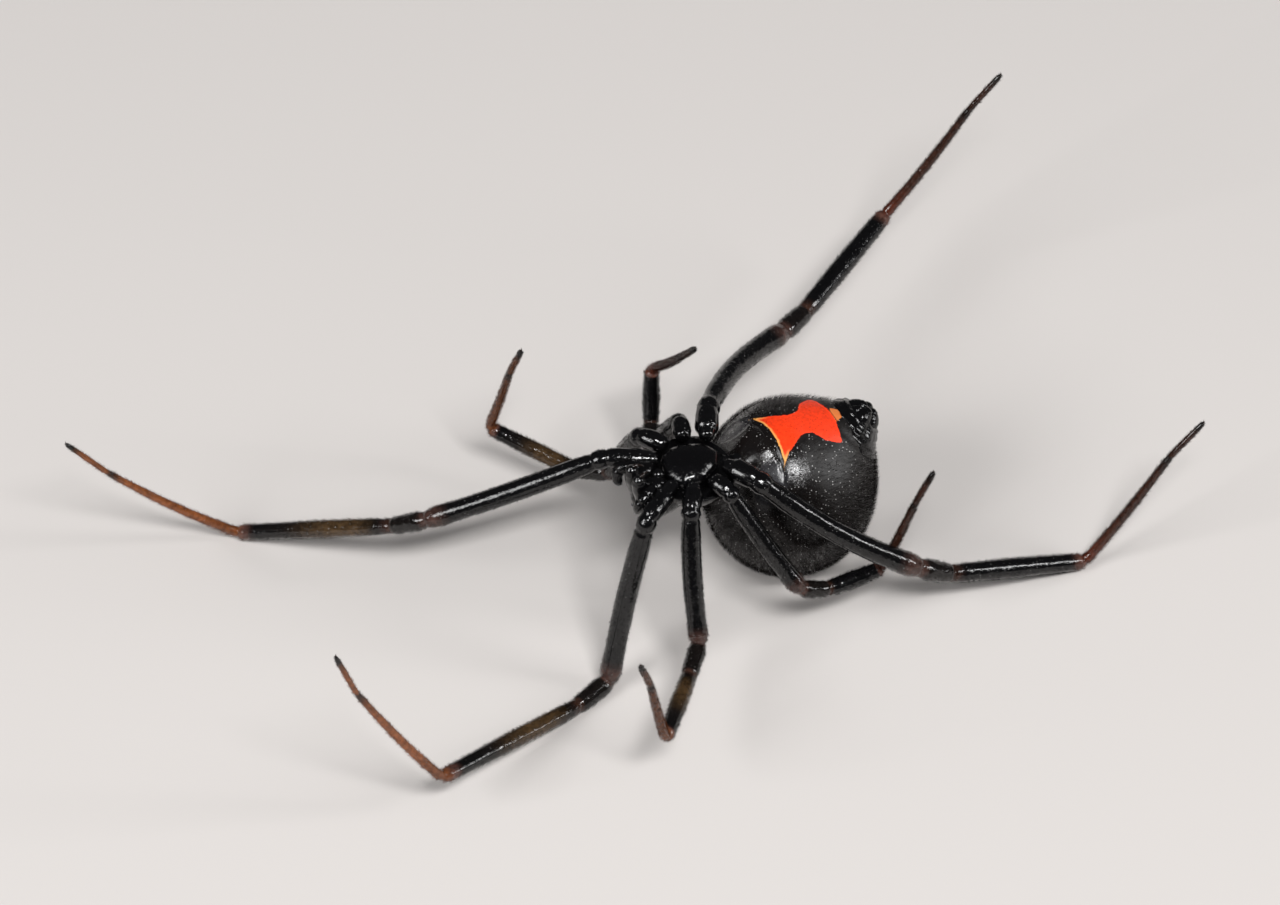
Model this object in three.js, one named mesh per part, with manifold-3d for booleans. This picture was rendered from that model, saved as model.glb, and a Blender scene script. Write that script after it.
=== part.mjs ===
// A female black widow spider at life size, posed as it hangs: belly up, with its legs reaching up.
// Here it lies on a floor, on the back of its abdomen and on the joints of three legs.
// Lengths are millimetres and angles are degrees. +Z is up, the spider's belly side.
// Each part is modelled in the body's own frame: +X towards the head, +Y to the spider's right,
// and the origin where the abdomen rests on the floor. One group then turns the whole body.
import * as THREE from "three";
import { mergeVertices } from "three/addons/utils/BufferGeometryUtils.js";
import Module from "manifold-3d";

const wasm = await Module();
wasm.setup();

// Driving sizes of the whole animal
const headHeading = 208; // the way the head points, turned from the model's +X
const gap = 0.12; // between neighbouring parts
const restFlat = 0.04; // how much a leg joint is flattened where it rests on the floor
const jointBlock = 5; // the side of the block that cuts a leg at a joint, and of larger ones
const shieldBlock = 9;
const floorBlock = 60;

// Driving sizes of the abdomen
const abdomen = {
  halfLength: 3.28,
  halfWidth: 3.26,
  halfHeight: 3.55,
  restFlat: 0.1,
  frontSwelling: 0.14, // the smooth dome in front of the hourglass mark
  tailSwelling: 0.45, // where the skin rises to the spinnerets
  frontRise: 52, // the dome stands forward and this far up
  tailRise: 38.5, // the spinnerets point back and this far up
  frontSpread: 24,
  tailSpread: 21,
  tailLength: 3.62, // from the middle of the abdomen to the foot of the spinnerets
};
const spinnerets = {
  footHalf: 0.92,
  tipHalf: 0.5,
  rootDepth: 0.3, // how far the cone starts under its foot
  length: 0.5,
  nubCount: 6,
  nubHalf: 0.13,
  nubAside: 0.2, // from the middle of the cone to the middle of a nub
  nubDepth: 0.2,
  nubLength: 0.17,
};

// Driving sizes of the front body
const sternumAhead = 4.1; // from the middle of the abdomen to the middle of the sternum
const hipHeight = 7.17; // the middle of the leg roots above the floor
const thorax = { halfLength: 1.6, halfWidth: 1.6, depth: 1.25 };
const head = { ahead: 1.3, halfLength: 1.08, halfWidth: 0.86, halfHeight: 0.86, below: 0.62 };
const coxaUnderside = 0.23; // the leg roots are flat this far below their middle
const sternum = {
  halfLength: 1.12,
  halfWidth: 1.02,
  frontHalfWidth: 0.5,
  shoulder: 0.78, // how far ahead the sides start to narrow
  widest: 0.1, // how far ahead the plate is widest
  tailHalfWidth: 0.82, // the sides still bulge this far out on the way to the rear point
  thickness: 0.52,
};
const labium = { ahead: 1.33, halfLength: 0.24, halfWidth: 0.25, halfHeight: 0.26, below: 0.04 };
const maxilla = { ahead: 1.72, aside: 0.36, halfLength: 0.44, halfWidth: 0.28, halfHeight: 0.27 };
const chelicera = {
  ahead: 2.12,
  aside: 0.3,
  depth: 0.2, // how far the jaw starts under the top of the shield
  rise: 1.1,
  lean: 0.22,
  closing: 0.03, // how much nearer the jaws are at their tips
  footHalf: 0.29,
  tipHalf: 0.23,
};
const fang = {
  half: 0.075,
  tipHalf: 0.03,
  reach: 0.36,
  setBack: 0.12,
  setIn: 0.03,
  closing: 0.08,
  dip: 0.02,
};
const pedicel = { half: 0.32, startAhead: -1.4, startBelow: 0.4, endBelow: 0.7 };
const eyeHalf = 0.09;
const eyeSeat = 0.02; // the clearance round an eye in its seat

// A palp curls down beside the jaw. Its bends are measured from the middle of the sternum.
const palp = {
  half: 0.23,
  tipHalf: 0.16,
  bends: [
    { ahead: 1.8, aside: 0.5, above: 0.05 },
    { ahead: 2.2, aside: 0.78, above: 0.15 },
    { ahead: 2.5, aside: 0.92, above: 0 },
    { ahead: 2.62, aside: 0.9, above: -0.3 },
    { ahead: 2.6, aside: 0.8, above: -0.6 },
  ],
};

// Each eye by its turn from straight ahead and its dip towards the back
const eyes = {
  anterior_median: { turn: 9, dip: 20 },
  anterior_lateral: { turn: 31, dip: 22 },
  posterior_median: { turn: 12, dip: 43 },
  posterior_lateral: { turn: 40, dip: 40 },
};

// The four pairs of legs: where the coxa leaves the body and where it ends, measured from the middle
// of the sternum, the lengths of the leg's parts, and their half thicknesses
const legPairs = [
  {
    root: { ahead: 1.2, aside: 0.74 },
    hip: { ahead: 2.64, aside: 1.62 },
    length: { femur: 7.25, patella: 1.6, tibia: 6.95, metatarsus: 6.55, tarsus: 2.4 },
    half: { root: 0.33, hip: 0.38, thigh: 0.4, knee: 0.41, shin: 0.33, ankle: 0.31 },
  },
  {
    root: { ahead: 0.55, aside: 1.24 },
    hip: { ahead: 1.06, aside: 1.96 },
    length: { femur: 5.25, patella: 1.55, tibia: 3.65, metatarsus: 4.1, tarsus: 1.75 },
    half: { root: 0.33, hip: 0.37, thigh: 0.38, knee: 0.38, shin: 0.31, ankle: 0.29 },
  },
  {
    root: { ahead: -0.33, aside: 1.28 },
    hip: { ahead: -0.54, aside: 1.88 },
    length: { femur: 4.95, patella: 1.25, tibia: 2.25, metatarsus: 3.05, tarsus: 1.45 },
    half: { root: 0.33, hip: 0.35, thigh: 0.36, knee: 0.37, shin: 0.31, ankle: 0.28 },
  },
  {
    root: { ahead: -1.1, aside: 0.86 },
    hip: { ahead: -1.66, aside: 1.86 },
    length: { femur: 7.35, patella: 1.55, tibia: 5.8, metatarsus: 5.6, tarsus: 1.85 },
    half: { root: 0.33, hip: 0.44, thigh: 0.42, knee: 0.45, shin: 0.37, ankle: 0.33 },
  },
];
const footHalf = { metatarsus: 0.25, tip: 0.11 };

// How a leg's parts swell and narrow: half thicknesses at shares of the part's length
function legProfiles({ root, hip, thigh, knee, shin, ankle }) {
  const behindRing = hip - 0.05; // a groove behind the ring with which the femur starts
  const kneeEnd = knee - 0.03;
  const belly = shin + 0.02; // the middle of the tibia
  return {
    coxa: [[0, root], [0.35, hip + 0.03], [0.75, hip], [1, hip]],
    femur: [
      [0, hip],
      [0.06, hip],
      [0.09, behindRing],
      [0.25, thigh - 0.02],
      [0.55, thigh],
      [0.8, knee],
      [0.93, knee],
      [1, kneeEnd],
    ],
    patella: [[0, kneeEnd], [0.5, kneeEnd], [1, shin]],
    tibia: [[0, shin], [0.12, shin], [0.45, belly], [0.8, shin], [0.94, ankle], [1, ankle]],
    metatarsus: [[0, footHalf.metatarsus], [0.5, footHalf.metatarsus], [0.94, footHalf.metatarsus]],
  };
}

// The pose. turn is the heading of the femur, of the patella with the tibia, and of the foot, from
// straight ahead and outward. height is the height of the knee, of the patella's end, of the ankle,
// of the metatarsus's end and of the tip above the floor, and 0 is a joint that rests on the floor.
// bow is how far the femur bends forward at its middle.
const pose = {
  L1: { turn: [24, 48, 16], height: [4.15, 3.25, 0, 4.9, 6.85], bow: 0.1 },
  L2: { turn: [92, 52, -112], height: [2.5, 1.9, 2.65, 6.6, 8.25], bow: 0.1 },
  L3: { turn: [93, 119, -98], height: [2.9, 2.85, 4.85, 7.25, 8.45], bow: 0.1 },
  L4: { turn: [143, 151, 187], height: [4.4, 4.05, 4.2, 8.75, 10.15], bow: 0.4 },
  R1: { turn: [28, 16, -13], height: [0, 0, 2.1, 7.95, 10.25], bow: 0.1 },
  R2: { turn: [69, 48, 25], height: [2.6, 2.6, 3.4, 7.4, 9.05], bow: 0.1 },
  R3: { turn: [125, 178, 188], height: [3.2, 2.6, 2.6, 5.3, 6.5], bow: 0.1 },
  R4: { turn: [145, 174, 174], height: [3, 2.1, 0, 4.9, 6.25], bow: 0.4 },
};

const cuticle = new THREE.MeshStandardMaterial({ color: 0x0b0a0b, roughness: 0.22, metalness: 0 });
const brownCuticle = new THREE.MeshStandardMaterial({ color: 0x3a1a10, roughness: 0.3, metalness: 0 });
const footCuticle = new THREE.MeshStandardMaterial({ color: 0x7a2f14, roughness: 0.35, metalness: 0 });
const abdomenSkin = new THREE.MeshStandardMaterial({ color: 0x100d0d, roughness: 0.38, metalness: 0 });
const eyeLens = new THREE.MeshStandardMaterial({ color: 0x050505, roughness: 0.08, metalness: 0 });

const up = new THREE.Vector3(0, 0, 1);
const down = new THREE.Vector3(0, 0, -1);
const spider = new THREE.Group();
spider.rotation.z = THREE.MathUtils.degToRad(headHeading);

// A point of the front body, from the middle of the sternum. side is 1 on the right and -1 on the left.
function bodyPoint(ahead, aside, height, side = 1) {
  return new THREE.Vector3(sternumAhead + ahead, side * aside, height);
}

// The direction with this turn from straight ahead and this rise above the level.
function direction(turn, rise) {
  const turned = THREE.MathUtils.degToRad(turn);
  const raised = THREE.MathUtils.degToRad(rise);
  return new THREE.Vector3(
    Math.cos(raised) * Math.cos(turned),
    Math.cos(raised) * Math.sin(turned),
    Math.sin(raised),
  );
}

// A closed surface as a solid that can be joined and cut.
function solidOf(geometry) {
  const bare = new THREE.BufferGeometry();
  bare.setAttribute("position", geometry.getAttribute("position"));
  if (geometry.index) bare.setIndex(geometry.index);
  const merged = mergeVertices(bare, 1e-4);
  return new wasm.Manifold(
    new wasm.Mesh({
      numProp: 3,
      vertProperties: new Float32Array(merged.attributes.position.array),
      triVerts: new Uint32Array(merged.index.array),
    }),
  );
}

// The largest closed surface of a solid as a geometry.
function geometryOf(solid) {
  const bodies = solid.decompose().sort((a, b) => b.volume() - a.volume());
  const mesh = bodies[0].getMesh();
  const geometry = new THREE.BufferGeometry();
  geometry.setAttribute("position", new THREE.BufferAttribute(mesh.vertProperties, mesh.numProp));
  geometry.setIndex(new THREE.BufferAttribute(mesh.triVerts, 1));
  geometry.computeVertexNormals();
  return geometry;
}

function addPart(name, solid, material) {
  const mesh = new THREE.Mesh(geometryOf(solid), material);
  mesh.name = name;
  spider.add(mesh);
}

// What is left of a solid when everything past a plane is taken off.
function trimPast(solid, point, outward, reach = jointBlock) {
  const block = new THREE.BoxGeometry(reach, reach, reach);
  block.translate(0, 0, reach / 2);
  block.applyQuaternion(new THREE.Quaternion().setFromUnitVectors(up, outward));
  block.translate(point.x, point.y, point.z);
  return solid.subtract(solidOf(block));
}

// What is left of a solid above the floor.
function aboveFloor(solid) {
  return trimPast(solid, new THREE.Vector3(0, 0, 0), down, floorBlock);
}

function ellipsoid(middle, halfX, halfY, halfZ, around = 20, along = 14) {
  const ball = new THREE.SphereGeometry(1, around, along);
  ball.rotateZ(-Math.PI / 2);
  ball.scale(halfX, halfY, halfZ);
  ball.translate(middle.x, middle.y, middle.z);
  return solidOf(ball);
}

// A closed tube with round sections. Each station has a middle point and a half thickness, and the
// first and the last have none, so that the tube comes to a point there. across is a direction that
// stays clear of the tube's own direction all along.
function tube(stations, across, sides) {
  const positions = [];
  const faces = [];
  const rings = stations.length - 2;
  const at = (ring, step) => 1 + (ring - 1) * sides + (step % sides);
  stations.forEach(({ middle, half }, i) => {
    if (i === 0 || i === stations.length - 1) {
      positions.push(middle.x, middle.y, middle.z);
      return;
    }
    const along = stations[i + 1].middle.clone().sub(stations[i - 1].middle).normalize();
    const second = along.clone().cross(across).normalize();
    const first = second.clone().cross(along).normalize();
    for (let step = 0; step < sides; step++) {
      const angle = (2 * Math.PI * step) / sides;
      const point = middle
        .clone()
        .addScaledVector(first, half * Math.cos(angle))
        .addScaledVector(second, half * Math.sin(angle));
      positions.push(point.x, point.y, point.z);
    }
  });
  const last = positions.length / 3 - 1;
  for (let step = 0; step < sides; step++) {
    faces.push(0, at(1, step + 1), at(1, step));
    for (let ring = 1; ring < rings; ring++) {
      faces.push(at(ring, step), at(ring, step + 1), at(ring + 1, step + 1));
      faces.push(at(ring, step), at(ring + 1, step + 1), at(ring + 1, step));
    }
    faces.push(last, at(rings, step), at(rings, step + 1));
  }
  const geometry = new THREE.BufferGeometry();
  geometry.setAttribute("position", new THREE.Float32BufferAttribute(positions, 3));
  geometry.setIndex(faces);
  return solidOf(geometry);
}

// Each end of a limb closes as half a ball, with rings at these angles from its pole.
const capAngles = [0, 35, 65].map(THREE.MathUtils.degToRad);

// The stations of one length of a limb. profile lists shares of the length with half thicknesses, and
// bend moves the middle of the length sideways.
function limbStations(from, to, profile, bend = new THREE.Vector3()) {
  const along = to.clone().sub(from).normalize();
  const cap = (end, half, way) =>
    capAngles.map((angle) => ({
      middle: end.clone().addScaledVector(along, way * half * Math.cos(angle)),
      half: half * Math.sin(angle),
    }));
  const length = profile.map(([share, half]) => ({
    middle: from.clone().lerp(to, share).addScaledVector(bend, Math.sin(Math.PI * share)),
    half,
  }));
  return [
    ...cap(from, profile[0][1], -1),
    ...length,
    ...cap(to, profile.at(-1)[1], 1).reverse(),
  ];
}

// The joints of a leg from its root on the body to its tip.
function legJoints(pair, side, { turn, height }) {
  const { root, hip, length, half } = pair;
  const joints = [
    bodyPoint(root.ahead, root.aside, hipHeight, side),
    bodyPoint(hip.ahead, hip.aside, hipHeight, side),
  ];
  const turns = [turn[0], turn[1], turn[1], turn[2], turn[2]];
  const restHalf = [half.knee, half.shin, half.ankle];
  Object.values(length).forEach((reach, i) => {
    const last = joints.at(-1);
    const goal = height[i] === 0 ? restHalf[i] - restFlat : height[i];
    const rise = THREE.MathUtils.radToDeg(Math.asin((goal - last.z) / reach));
    joints.push(last.clone().addScaledVector(direction(side * turns[i], rise), reach));
  });
  return joints;
}

// The direction across the plane that halves the bend at a joint, pointing to the part after it.
function halvingWay(before, joint, after) {
  const arriving = joint.clone().sub(before).normalize();
  const leaving = after.clone().sub(joint).normalize();
  return arriving.add(leaving).normalize();
}

// A leg part cut off half a gap past the joint that it starts from.
function startAt(solid, before, joint, after) {
  const way = halvingWay(before, joint, after);
  return trimPast(solid, joint.clone().addScaledVector(way, gap / 2), way.negate());
}

// A leg part cut off half a gap before the joint where it ends.
function endAt(solid, before, joint, after) {
  const way = halvingWay(before, joint, after);
  return trimPast(solid, joint.clone().addScaledVector(way, -gap / 2), way);
}

const legSides = 10; // the sides of the tubes that the legs are made of
const footSides = 8;

// The coxae grown by the gap, to cut their neighbours clear of them, in the order of the legs.
const coxaClear = [];

function addLeg(name) {
  const side = name[0] === "L" ? -1 : 1;
  const pair = legPairs[name[1] - 1];
  const { turn, bow } = pose[name];
  const [root, hip, knee, patellaEnd, ankle, metatarsusEnd, tip] = legJoints(pair, side, pose[name]);
  const profiles = legProfiles(pair.half);
  const femurAcross = direction(side * turn[0] + 90, 0);
  const shinAcross = direction(side * turn[1] + 90, 0);
  const footAcross = direction(side * turn[2] + 90, 0);
  const forward = femurAcross.clone().multiplyScalar(-side * bow);

  // The coxa lies flat on the shield, and the other parts start where their joint's bend is halved.
  const coxaAcross = up;
  const grown = profiles.coxa.map(([share, half]) => [share, half + gap]);
  coxaClear.push(tube(limbStations(root, hip, grown), coxaAcross, legSides));
  let coxa = tube(limbStations(root, hip, profiles.coxa), coxaAcross, legSides);
  coxa = trimPast(coxa, root, root.clone().sub(hip).normalize());
  coxa = trimPast(coxa, bodyPoint(0, 0, hipHeight - coxaUnderside), down, shieldBlock);
  addPart(`leg_${name}_coxa`, endAt(coxa, root, hip, knee), cuticle);

  const femur = tube(limbStations(hip, knee, profiles.femur, forward), femurAcross, legSides);
  const femurStarted = startAt(femur, root, hip, knee);
  addPart(`leg_${name}_femur`, aboveFloor(endAt(femurStarted, hip, knee, patellaEnd)), cuticle);

  const patella = tube(limbStations(knee, patellaEnd, profiles.patella), shinAcross, legSides);
  const patellaStarted = startAt(patella, hip, knee, patellaEnd);
  const patellaEnded = endAt(patellaStarted, knee, patellaEnd, ankle);
  addPart(`leg_${name}_patella`, aboveFloor(patellaEnded), brownCuticle);

  const tibia = tube(limbStations(patellaEnd, ankle, profiles.tibia), shinAcross, legSides);
  const tibiaStarted = startAt(tibia, knee, patellaEnd, ankle);
  const tibiaEnded = endAt(tibiaStarted, patellaEnd, ankle, metatarsusEnd);
  addPart(`leg_${name}_tibia`, aboveFloor(tibiaEnded), cuticle);

  // The metatarsus and tarsus are one piece, which comes to a point.
  const footStations = limbStations(ankle, metatarsusEnd, profiles.metatarsus).slice(0, -capAngles.length);
  for (const share of [0.1, 0.5, 0.85]) {
    footStations.push({
      middle: metatarsusEnd.clone().lerp(tip, share),
      half: THREE.MathUtils.lerp(footHalf.metatarsus, footHalf.tip, share ** 1.5),
    });
  }
  footStations.push({ middle: tip, half: 0 });
  const foot = tube(footStations, footAcross, footSides);
  const footStarted = startAt(foot, patellaEnd, ankle, metatarsusEnd);
  addPart(`leg_${name}_foot`, aboveFloor(footStarted), footCuticle);
}

for (const name of Object.keys(pose)) addLeg(name);

// The front body: a shield of thorax and head under the leg roots, flat where they lie on it
const shieldTop = hipHeight - coxaUnderside - gap;
const thoraxMiddle = bodyPoint(-0.1, 0, shieldTop);
const headMiddle = bodyPoint(head.ahead, 0, shieldTop - head.below);

function headBall(extra = 0) {
  const { halfLength, halfWidth, halfHeight } = head;
  return ellipsoid(headMiddle, halfLength + extra, halfWidth + extra, halfHeight + extra, 24, 18);
}

function thoraxBall(extra = 0) {
  const { halfLength, halfWidth, depth } = thorax;
  return ellipsoid(thoraxMiddle, halfLength + extra, halfWidth + extra, depth + extra, 24, 18);
}

// A point of the head's surface, by its turn from straight ahead and its dip towards the back.
function onHead(turn, dip) {
  const way = direction(turn, -dip);
  way.multiply(new THREE.Vector3(head.halfLength, head.halfWidth, head.halfHeight));
  return headMiddle.clone().add(way);
}

// The shield grown by the gap, to cut its neighbours clear of it.
const shieldClear = trimPast(
  thoraxBall(gap).add(headBall(gap)),
  bodyPoint(0, 0, shieldTop + gap),
  up,
  shieldBlock,
);

let shield = trimPast(thoraxBall().add(headBall()), thoraxMiddle, up, shieldBlock);
for (const side of [-1, 1]) {
  for (const [eye, { turn, dip }] of Object.entries(eyes)) {
    const middle = onHead(side * turn, dip);
    const seatHalf = eyeHalf + eyeSeat;
    shield = shield.subtract(ellipsoid(middle, seatHalf, seatHalf, seatHalf, 10, 8));
    const name = `eye_${side < 0 ? "L" : "R"}_${eye}`;
    addPart(name, ellipsoid(middle, eyeHalf, eyeHalf, eyeHalf, 10, 8), eyeLens);
  }
}
addPart("carapace", shield, cuticle);

// The sternum, a shield-shaped plate with a low dome, between the leg roots
function sternumSolid() {
  const { halfLength, halfWidth, frontHalfWidth, shoulder, widest, tailHalfWidth, thickness } = sternum;
  const outline = new THREE.Shape();
  outline.moveTo(halfLength, -frontHalfWidth);
  outline.lineTo(halfLength, frontHalfWidth);
  outline.quadraticCurveTo(shoulder, halfWidth, widest, halfWidth);
  outline.quadraticCurveTo(-shoulder, tailHalfWidth, -halfLength, 0);
  outline.quadraticCurveTo(-shoulder, -tailHalfWidth, widest, -halfWidth);
  outline.quadraticCurveTo(shoulder, -halfWidth, halfLength, -frontHalfWidth);
  const plate = new THREE.ExtrudeGeometry(outline, {
    depth: thickness,
    bevelEnabled: false,
    curveSegments: 6,
  });
  const foot = shieldTop + gap;
  plate.translate(sternumAhead, 0, foot);
  const dome = ellipsoid(bodyPoint(0, 0, foot), 1.5 * halfLength, 1.5 * halfWidth, thickness, 24, 16);
  return coxaClear.reduce((left, coxa) => left.subtract(coxa), solidOf(plate).intersect(dome));
}
addPart("sternum", sternumSolid(), cuticle);

function lipBall(extra = 0) {
  const { ahead, halfLength, halfWidth, halfHeight, below } = labium;
  const middle = bodyPoint(ahead, 0, hipHeight - below);
  return ellipsoid(middle, halfLength + extra, halfWidth + extra / 2, halfHeight + extra, 12, 8);
}

const lipFoot = bodyPoint(labium.ahead, 0, shieldTop + gap);
const sternumFront = bodyPoint(sternum.halfLength + gap, 0, hipHeight);
const lip = trimPast(trimPast(lipBall(), lipFoot, down), sternumFront, direction(180, 0));
addPart("labium", lip, cuticle);

// The jaws and feelers of each side: chelicera, fang, and the palp with its broad root beside the lip
for (const side of [-1, 1]) {
  const letter = side < 0 ? "L" : "R";
  const middlePlane = bodyPoint(0, gap / 4, hipHeight, side);
  const inward = direction(-90 * side, 0);

  const { ahead, aside, depth, rise, lean, closing, footHalf: jawFoot, tipHalf } = chelicera;
  const jawStart = bodyPoint(ahead, aside, shieldTop - depth, side);
  const jawEnd = bodyPoint(ahead + lean, aside - closing, shieldTop - depth + rise, side);
  const jawTube = (extra = 0) => {
    const profile = [[0, jawFoot + extra], [0.5, jawFoot + extra], [1, tipHalf + extra]];
    return tube(limbStations(jawStart, jawEnd, profile), direction(90, 0), legSides);
  };
  const jaw = trimPast(jawTube().subtract(shieldClear), middlePlane, inward, shieldBlock);
  addPart(`chelicera_${letter}`, jaw, cuticle);

  const fangStart = new THREE.Vector3(-fang.setBack, -side * fang.setIn, tipHalf + fang.half).add(jawEnd);
  const fangEnd = new THREE.Vector3(-fang.reach, -side * fang.closing, -fang.dip).add(fangStart);
  const fangProfile = [[0, fang.half], [0.5, fang.half * 0.8], [1, fang.tipHalf]];
  const fangTube = tube(limbStations(fangStart, fangEnd, fangProfile), up, footSides);
  addPart(`fang_${letter}`, fangTube.subtract(jawTube(gap / 3)), brownCuticle);

  const lobe = ellipsoid(
    bodyPoint(maxilla.ahead, maxilla.aside, hipHeight, side),
    maxilla.halfLength,
    maxilla.halfWidth,
    maxilla.halfHeight,
    14,
    10,
  );
  const bends = palp.bends.map((bend) => bodyPoint(bend.ahead, bend.aside, hipHeight + bend.above, side));
  const route = new THREE.CatmullRomCurve3(bends);
  const palpStations = [0, 0.01, 0.15, 0.3, 0.45, 0.6, 0.75, 0.9, 0.97, 1].map((share) => ({
    middle: route.getPointAt(share),
    half: share === 0 || share === 1 ? 0 : THREE.MathUtils.lerp(palp.half, palp.tipHalf, share),
  }));
  const ownCoxa = coxaClear[side < 0 ? 0 : legPairs.length];
  const feeler = lobe
    .add(tube(palpStations, direction(90, 0), footSides))
    .subtract(ownCoxa)
    .subtract(jawTube(gap))
    .subtract(lipBall(gap))
    .subtract(shieldClear);
  addPart(`palp_${letter}`, trimPast(feeler, middlePlane, inward, shieldBlock), cuticle);
}

// The abdomen: a deep globe that swells in front of the mark and rises to the spinnerets
const abdomenMiddle = new THREE.Vector3(0, 0, abdomen.halfHeight - abdomen.restFlat);
const frontWay = direction(0, abdomen.frontRise);
const tailWay = direction(180, abdomen.tailRise);

// How strongly a swelling lifts the skin in this direction: 1 at its middle, fading over the spread.
function swell(way, middle, spread) {
  const apart = THREE.MathUtils.radToDeg(way.angleTo(middle));
  return Math.exp(-((apart / spread) ** 2));
}

function globe(extra = 0) {
  const ball = new THREE.SphereGeometry(1, 32, 22);
  ball.rotateZ(-Math.PI / 2);
  const place = ball.getAttribute("position");
  const way = new THREE.Vector3();
  for (let i = 0; i < place.count; i++) {
    way.fromBufferAttribute(place, i).normalize();
    const front = abdomen.frontSwelling * swell(way, frontWay, abdomen.frontSpread);
    const tail = abdomen.tailSwelling * swell(way, tailWay, abdomen.tailSpread);
    const lift = extra + front + tail;
    place.setXYZ(
      i,
      way.x * (abdomen.halfLength + lift),
      way.y * (abdomen.halfWidth + lift),
      way.z * (abdomen.halfHeight + lift),
    );
  }
  ball.translate(abdomenMiddle.x, abdomenMiddle.y, abdomenMiddle.z);
  return solidOf(ball);
}

// A point on the line through the abdomen and the spinnerets, from the foot of the spinnerets.
function tailPoint(beyond) {
  return abdomenMiddle.clone().addScaledVector(tailWay, abdomen.tailLength + beyond);
}

addPart("abdomen", aboveFloor(trimPast(globe(), tailPoint(0), tailWay)), abdomenSkin);

// The spinnerets: a short blunt cone with three pairs of nubs
function spinneretSolid() {
  const { footHalf: coneHalf, tipHalf, rootDepth, length, nubCount, nubHalf } = spinnerets;
  const tailAcross = direction(90, 0);
  const tailUpright = tailWay.clone().cross(tailAcross).normalize();
  const coneProfile = [[0, coneHalf], [0.4, coneHalf], [1, tipHalf]];
  const cone = tube(limbStations(tailPoint(-rootDepth), tailPoint(length), coneProfile), tailAcross, 14);
  let joined = trimPast(cone, tailPoint(length), tailWay);
  for (let nub = 0; nub < nubCount; nub++) {
    const angle = (2 * Math.PI * (nub + 0.5)) / nubCount;
    const aside = tailAcross
      .clone()
      .multiplyScalar(spinnerets.nubAside * Math.cos(angle))
      .addScaledVector(tailUpright, spinnerets.nubAside * Math.sin(angle));
    const nubStart = tailPoint(length - spinnerets.nubDepth).add(aside);
    const nubEnd = tailPoint(length + spinnerets.nubLength).add(aside);
    const nubProfile = [[0, nubHalf], [1, nubHalf * 0.8]];
    joined = joined.add(tube(limbStations(nubStart, nubEnd, nubProfile), tailUpright, footSides));
  }
  return trimPast(joined, tailPoint(gap), tailWay.clone().negate());
}
addPart("spinnerets", spinneretSolid(), cuticle);

// The waist between the shield and the abdomen
const waistStart = bodyPoint(pedicel.startAhead, 0, shieldTop - pedicel.startBelow);
const waistEnd = new THREE.Vector3(abdomen.halfLength / 2, 0, shieldTop - pedicel.endBelow);
const waistProfile = [[0, pedicel.half], [1, pedicel.half]];
const waist = tube(limbStations(waistStart, waistEnd, waistProfile), direction(90, 0), legSides);
addPart("pedicel", waist.subtract(globe(gap)).subtract(shieldClear), cuticle);

export default spider;
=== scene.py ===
# %% [markdown]
# # A black widow spider at life size
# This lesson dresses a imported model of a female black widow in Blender. The animal lies belly up,
# as it hangs, so its red mark and all eight legs show. It is only 42 mm across, so everything is
# modelled in millimetres in the body's own frame, where +X points to the head, +Y to the spider's
# right and +Z to the belly, and one matrix at the end brings each piece to its place in metres.

# %% Load the frame
import math
import bmesh
import bpy
import numpy as np
from mathutils import Matrix, Vector


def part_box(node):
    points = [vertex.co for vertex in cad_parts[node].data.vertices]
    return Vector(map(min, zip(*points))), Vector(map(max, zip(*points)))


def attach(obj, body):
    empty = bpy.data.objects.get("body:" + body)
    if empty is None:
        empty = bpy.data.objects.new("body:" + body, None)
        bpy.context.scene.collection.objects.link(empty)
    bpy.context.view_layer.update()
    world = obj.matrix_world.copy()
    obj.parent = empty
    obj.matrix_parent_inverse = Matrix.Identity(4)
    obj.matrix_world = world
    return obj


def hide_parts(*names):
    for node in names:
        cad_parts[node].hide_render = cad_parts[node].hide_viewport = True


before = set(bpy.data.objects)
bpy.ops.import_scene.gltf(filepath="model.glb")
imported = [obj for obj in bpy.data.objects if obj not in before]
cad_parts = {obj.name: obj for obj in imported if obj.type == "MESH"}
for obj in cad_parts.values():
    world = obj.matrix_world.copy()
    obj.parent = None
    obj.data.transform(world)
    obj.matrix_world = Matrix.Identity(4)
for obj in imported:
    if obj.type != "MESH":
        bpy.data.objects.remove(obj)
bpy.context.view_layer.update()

# %% [markdown]
# ## Sizes
# These are the driving sizes of the solids, repeated here because this script reads nothing but
# the frame. The legs of a pair share their sizes, and the pose of each leg is given by three
# turns, seen from above, and by the heights of its joints over the floor.

# %% The body's own frame
head_heading = 208
mm = 0.001
to_world = Matrix.Rotation(math.radians(head_heading), 4, "Z") @ Matrix.Scale(mm, 4)
rest_flat = 0.04
hip_height = 7.17
sternum_ahead = 4.1
abdomen_middle = Vector((0, 0, 3.45))


def body_point(ahead, aside, height, side=1):
    """A point of the front body, measured from the middle of the sternum."""
    return Vector((sternum_ahead + ahead, side * aside, height))


def direction(turn, rise):
    """The direction with this turn from straight ahead and this rise above the level."""
    turned = math.radians(turn)
    raised = math.radians(rise)
    level = math.cos(raised)
    return Vector((level * math.cos(turned), level * math.sin(turned), math.sin(raised)))


print("the head points to", tuple(round(x, 3) for x in to_world.to_3x3() @ Vector((1, 0, 0)) / mm))

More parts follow.
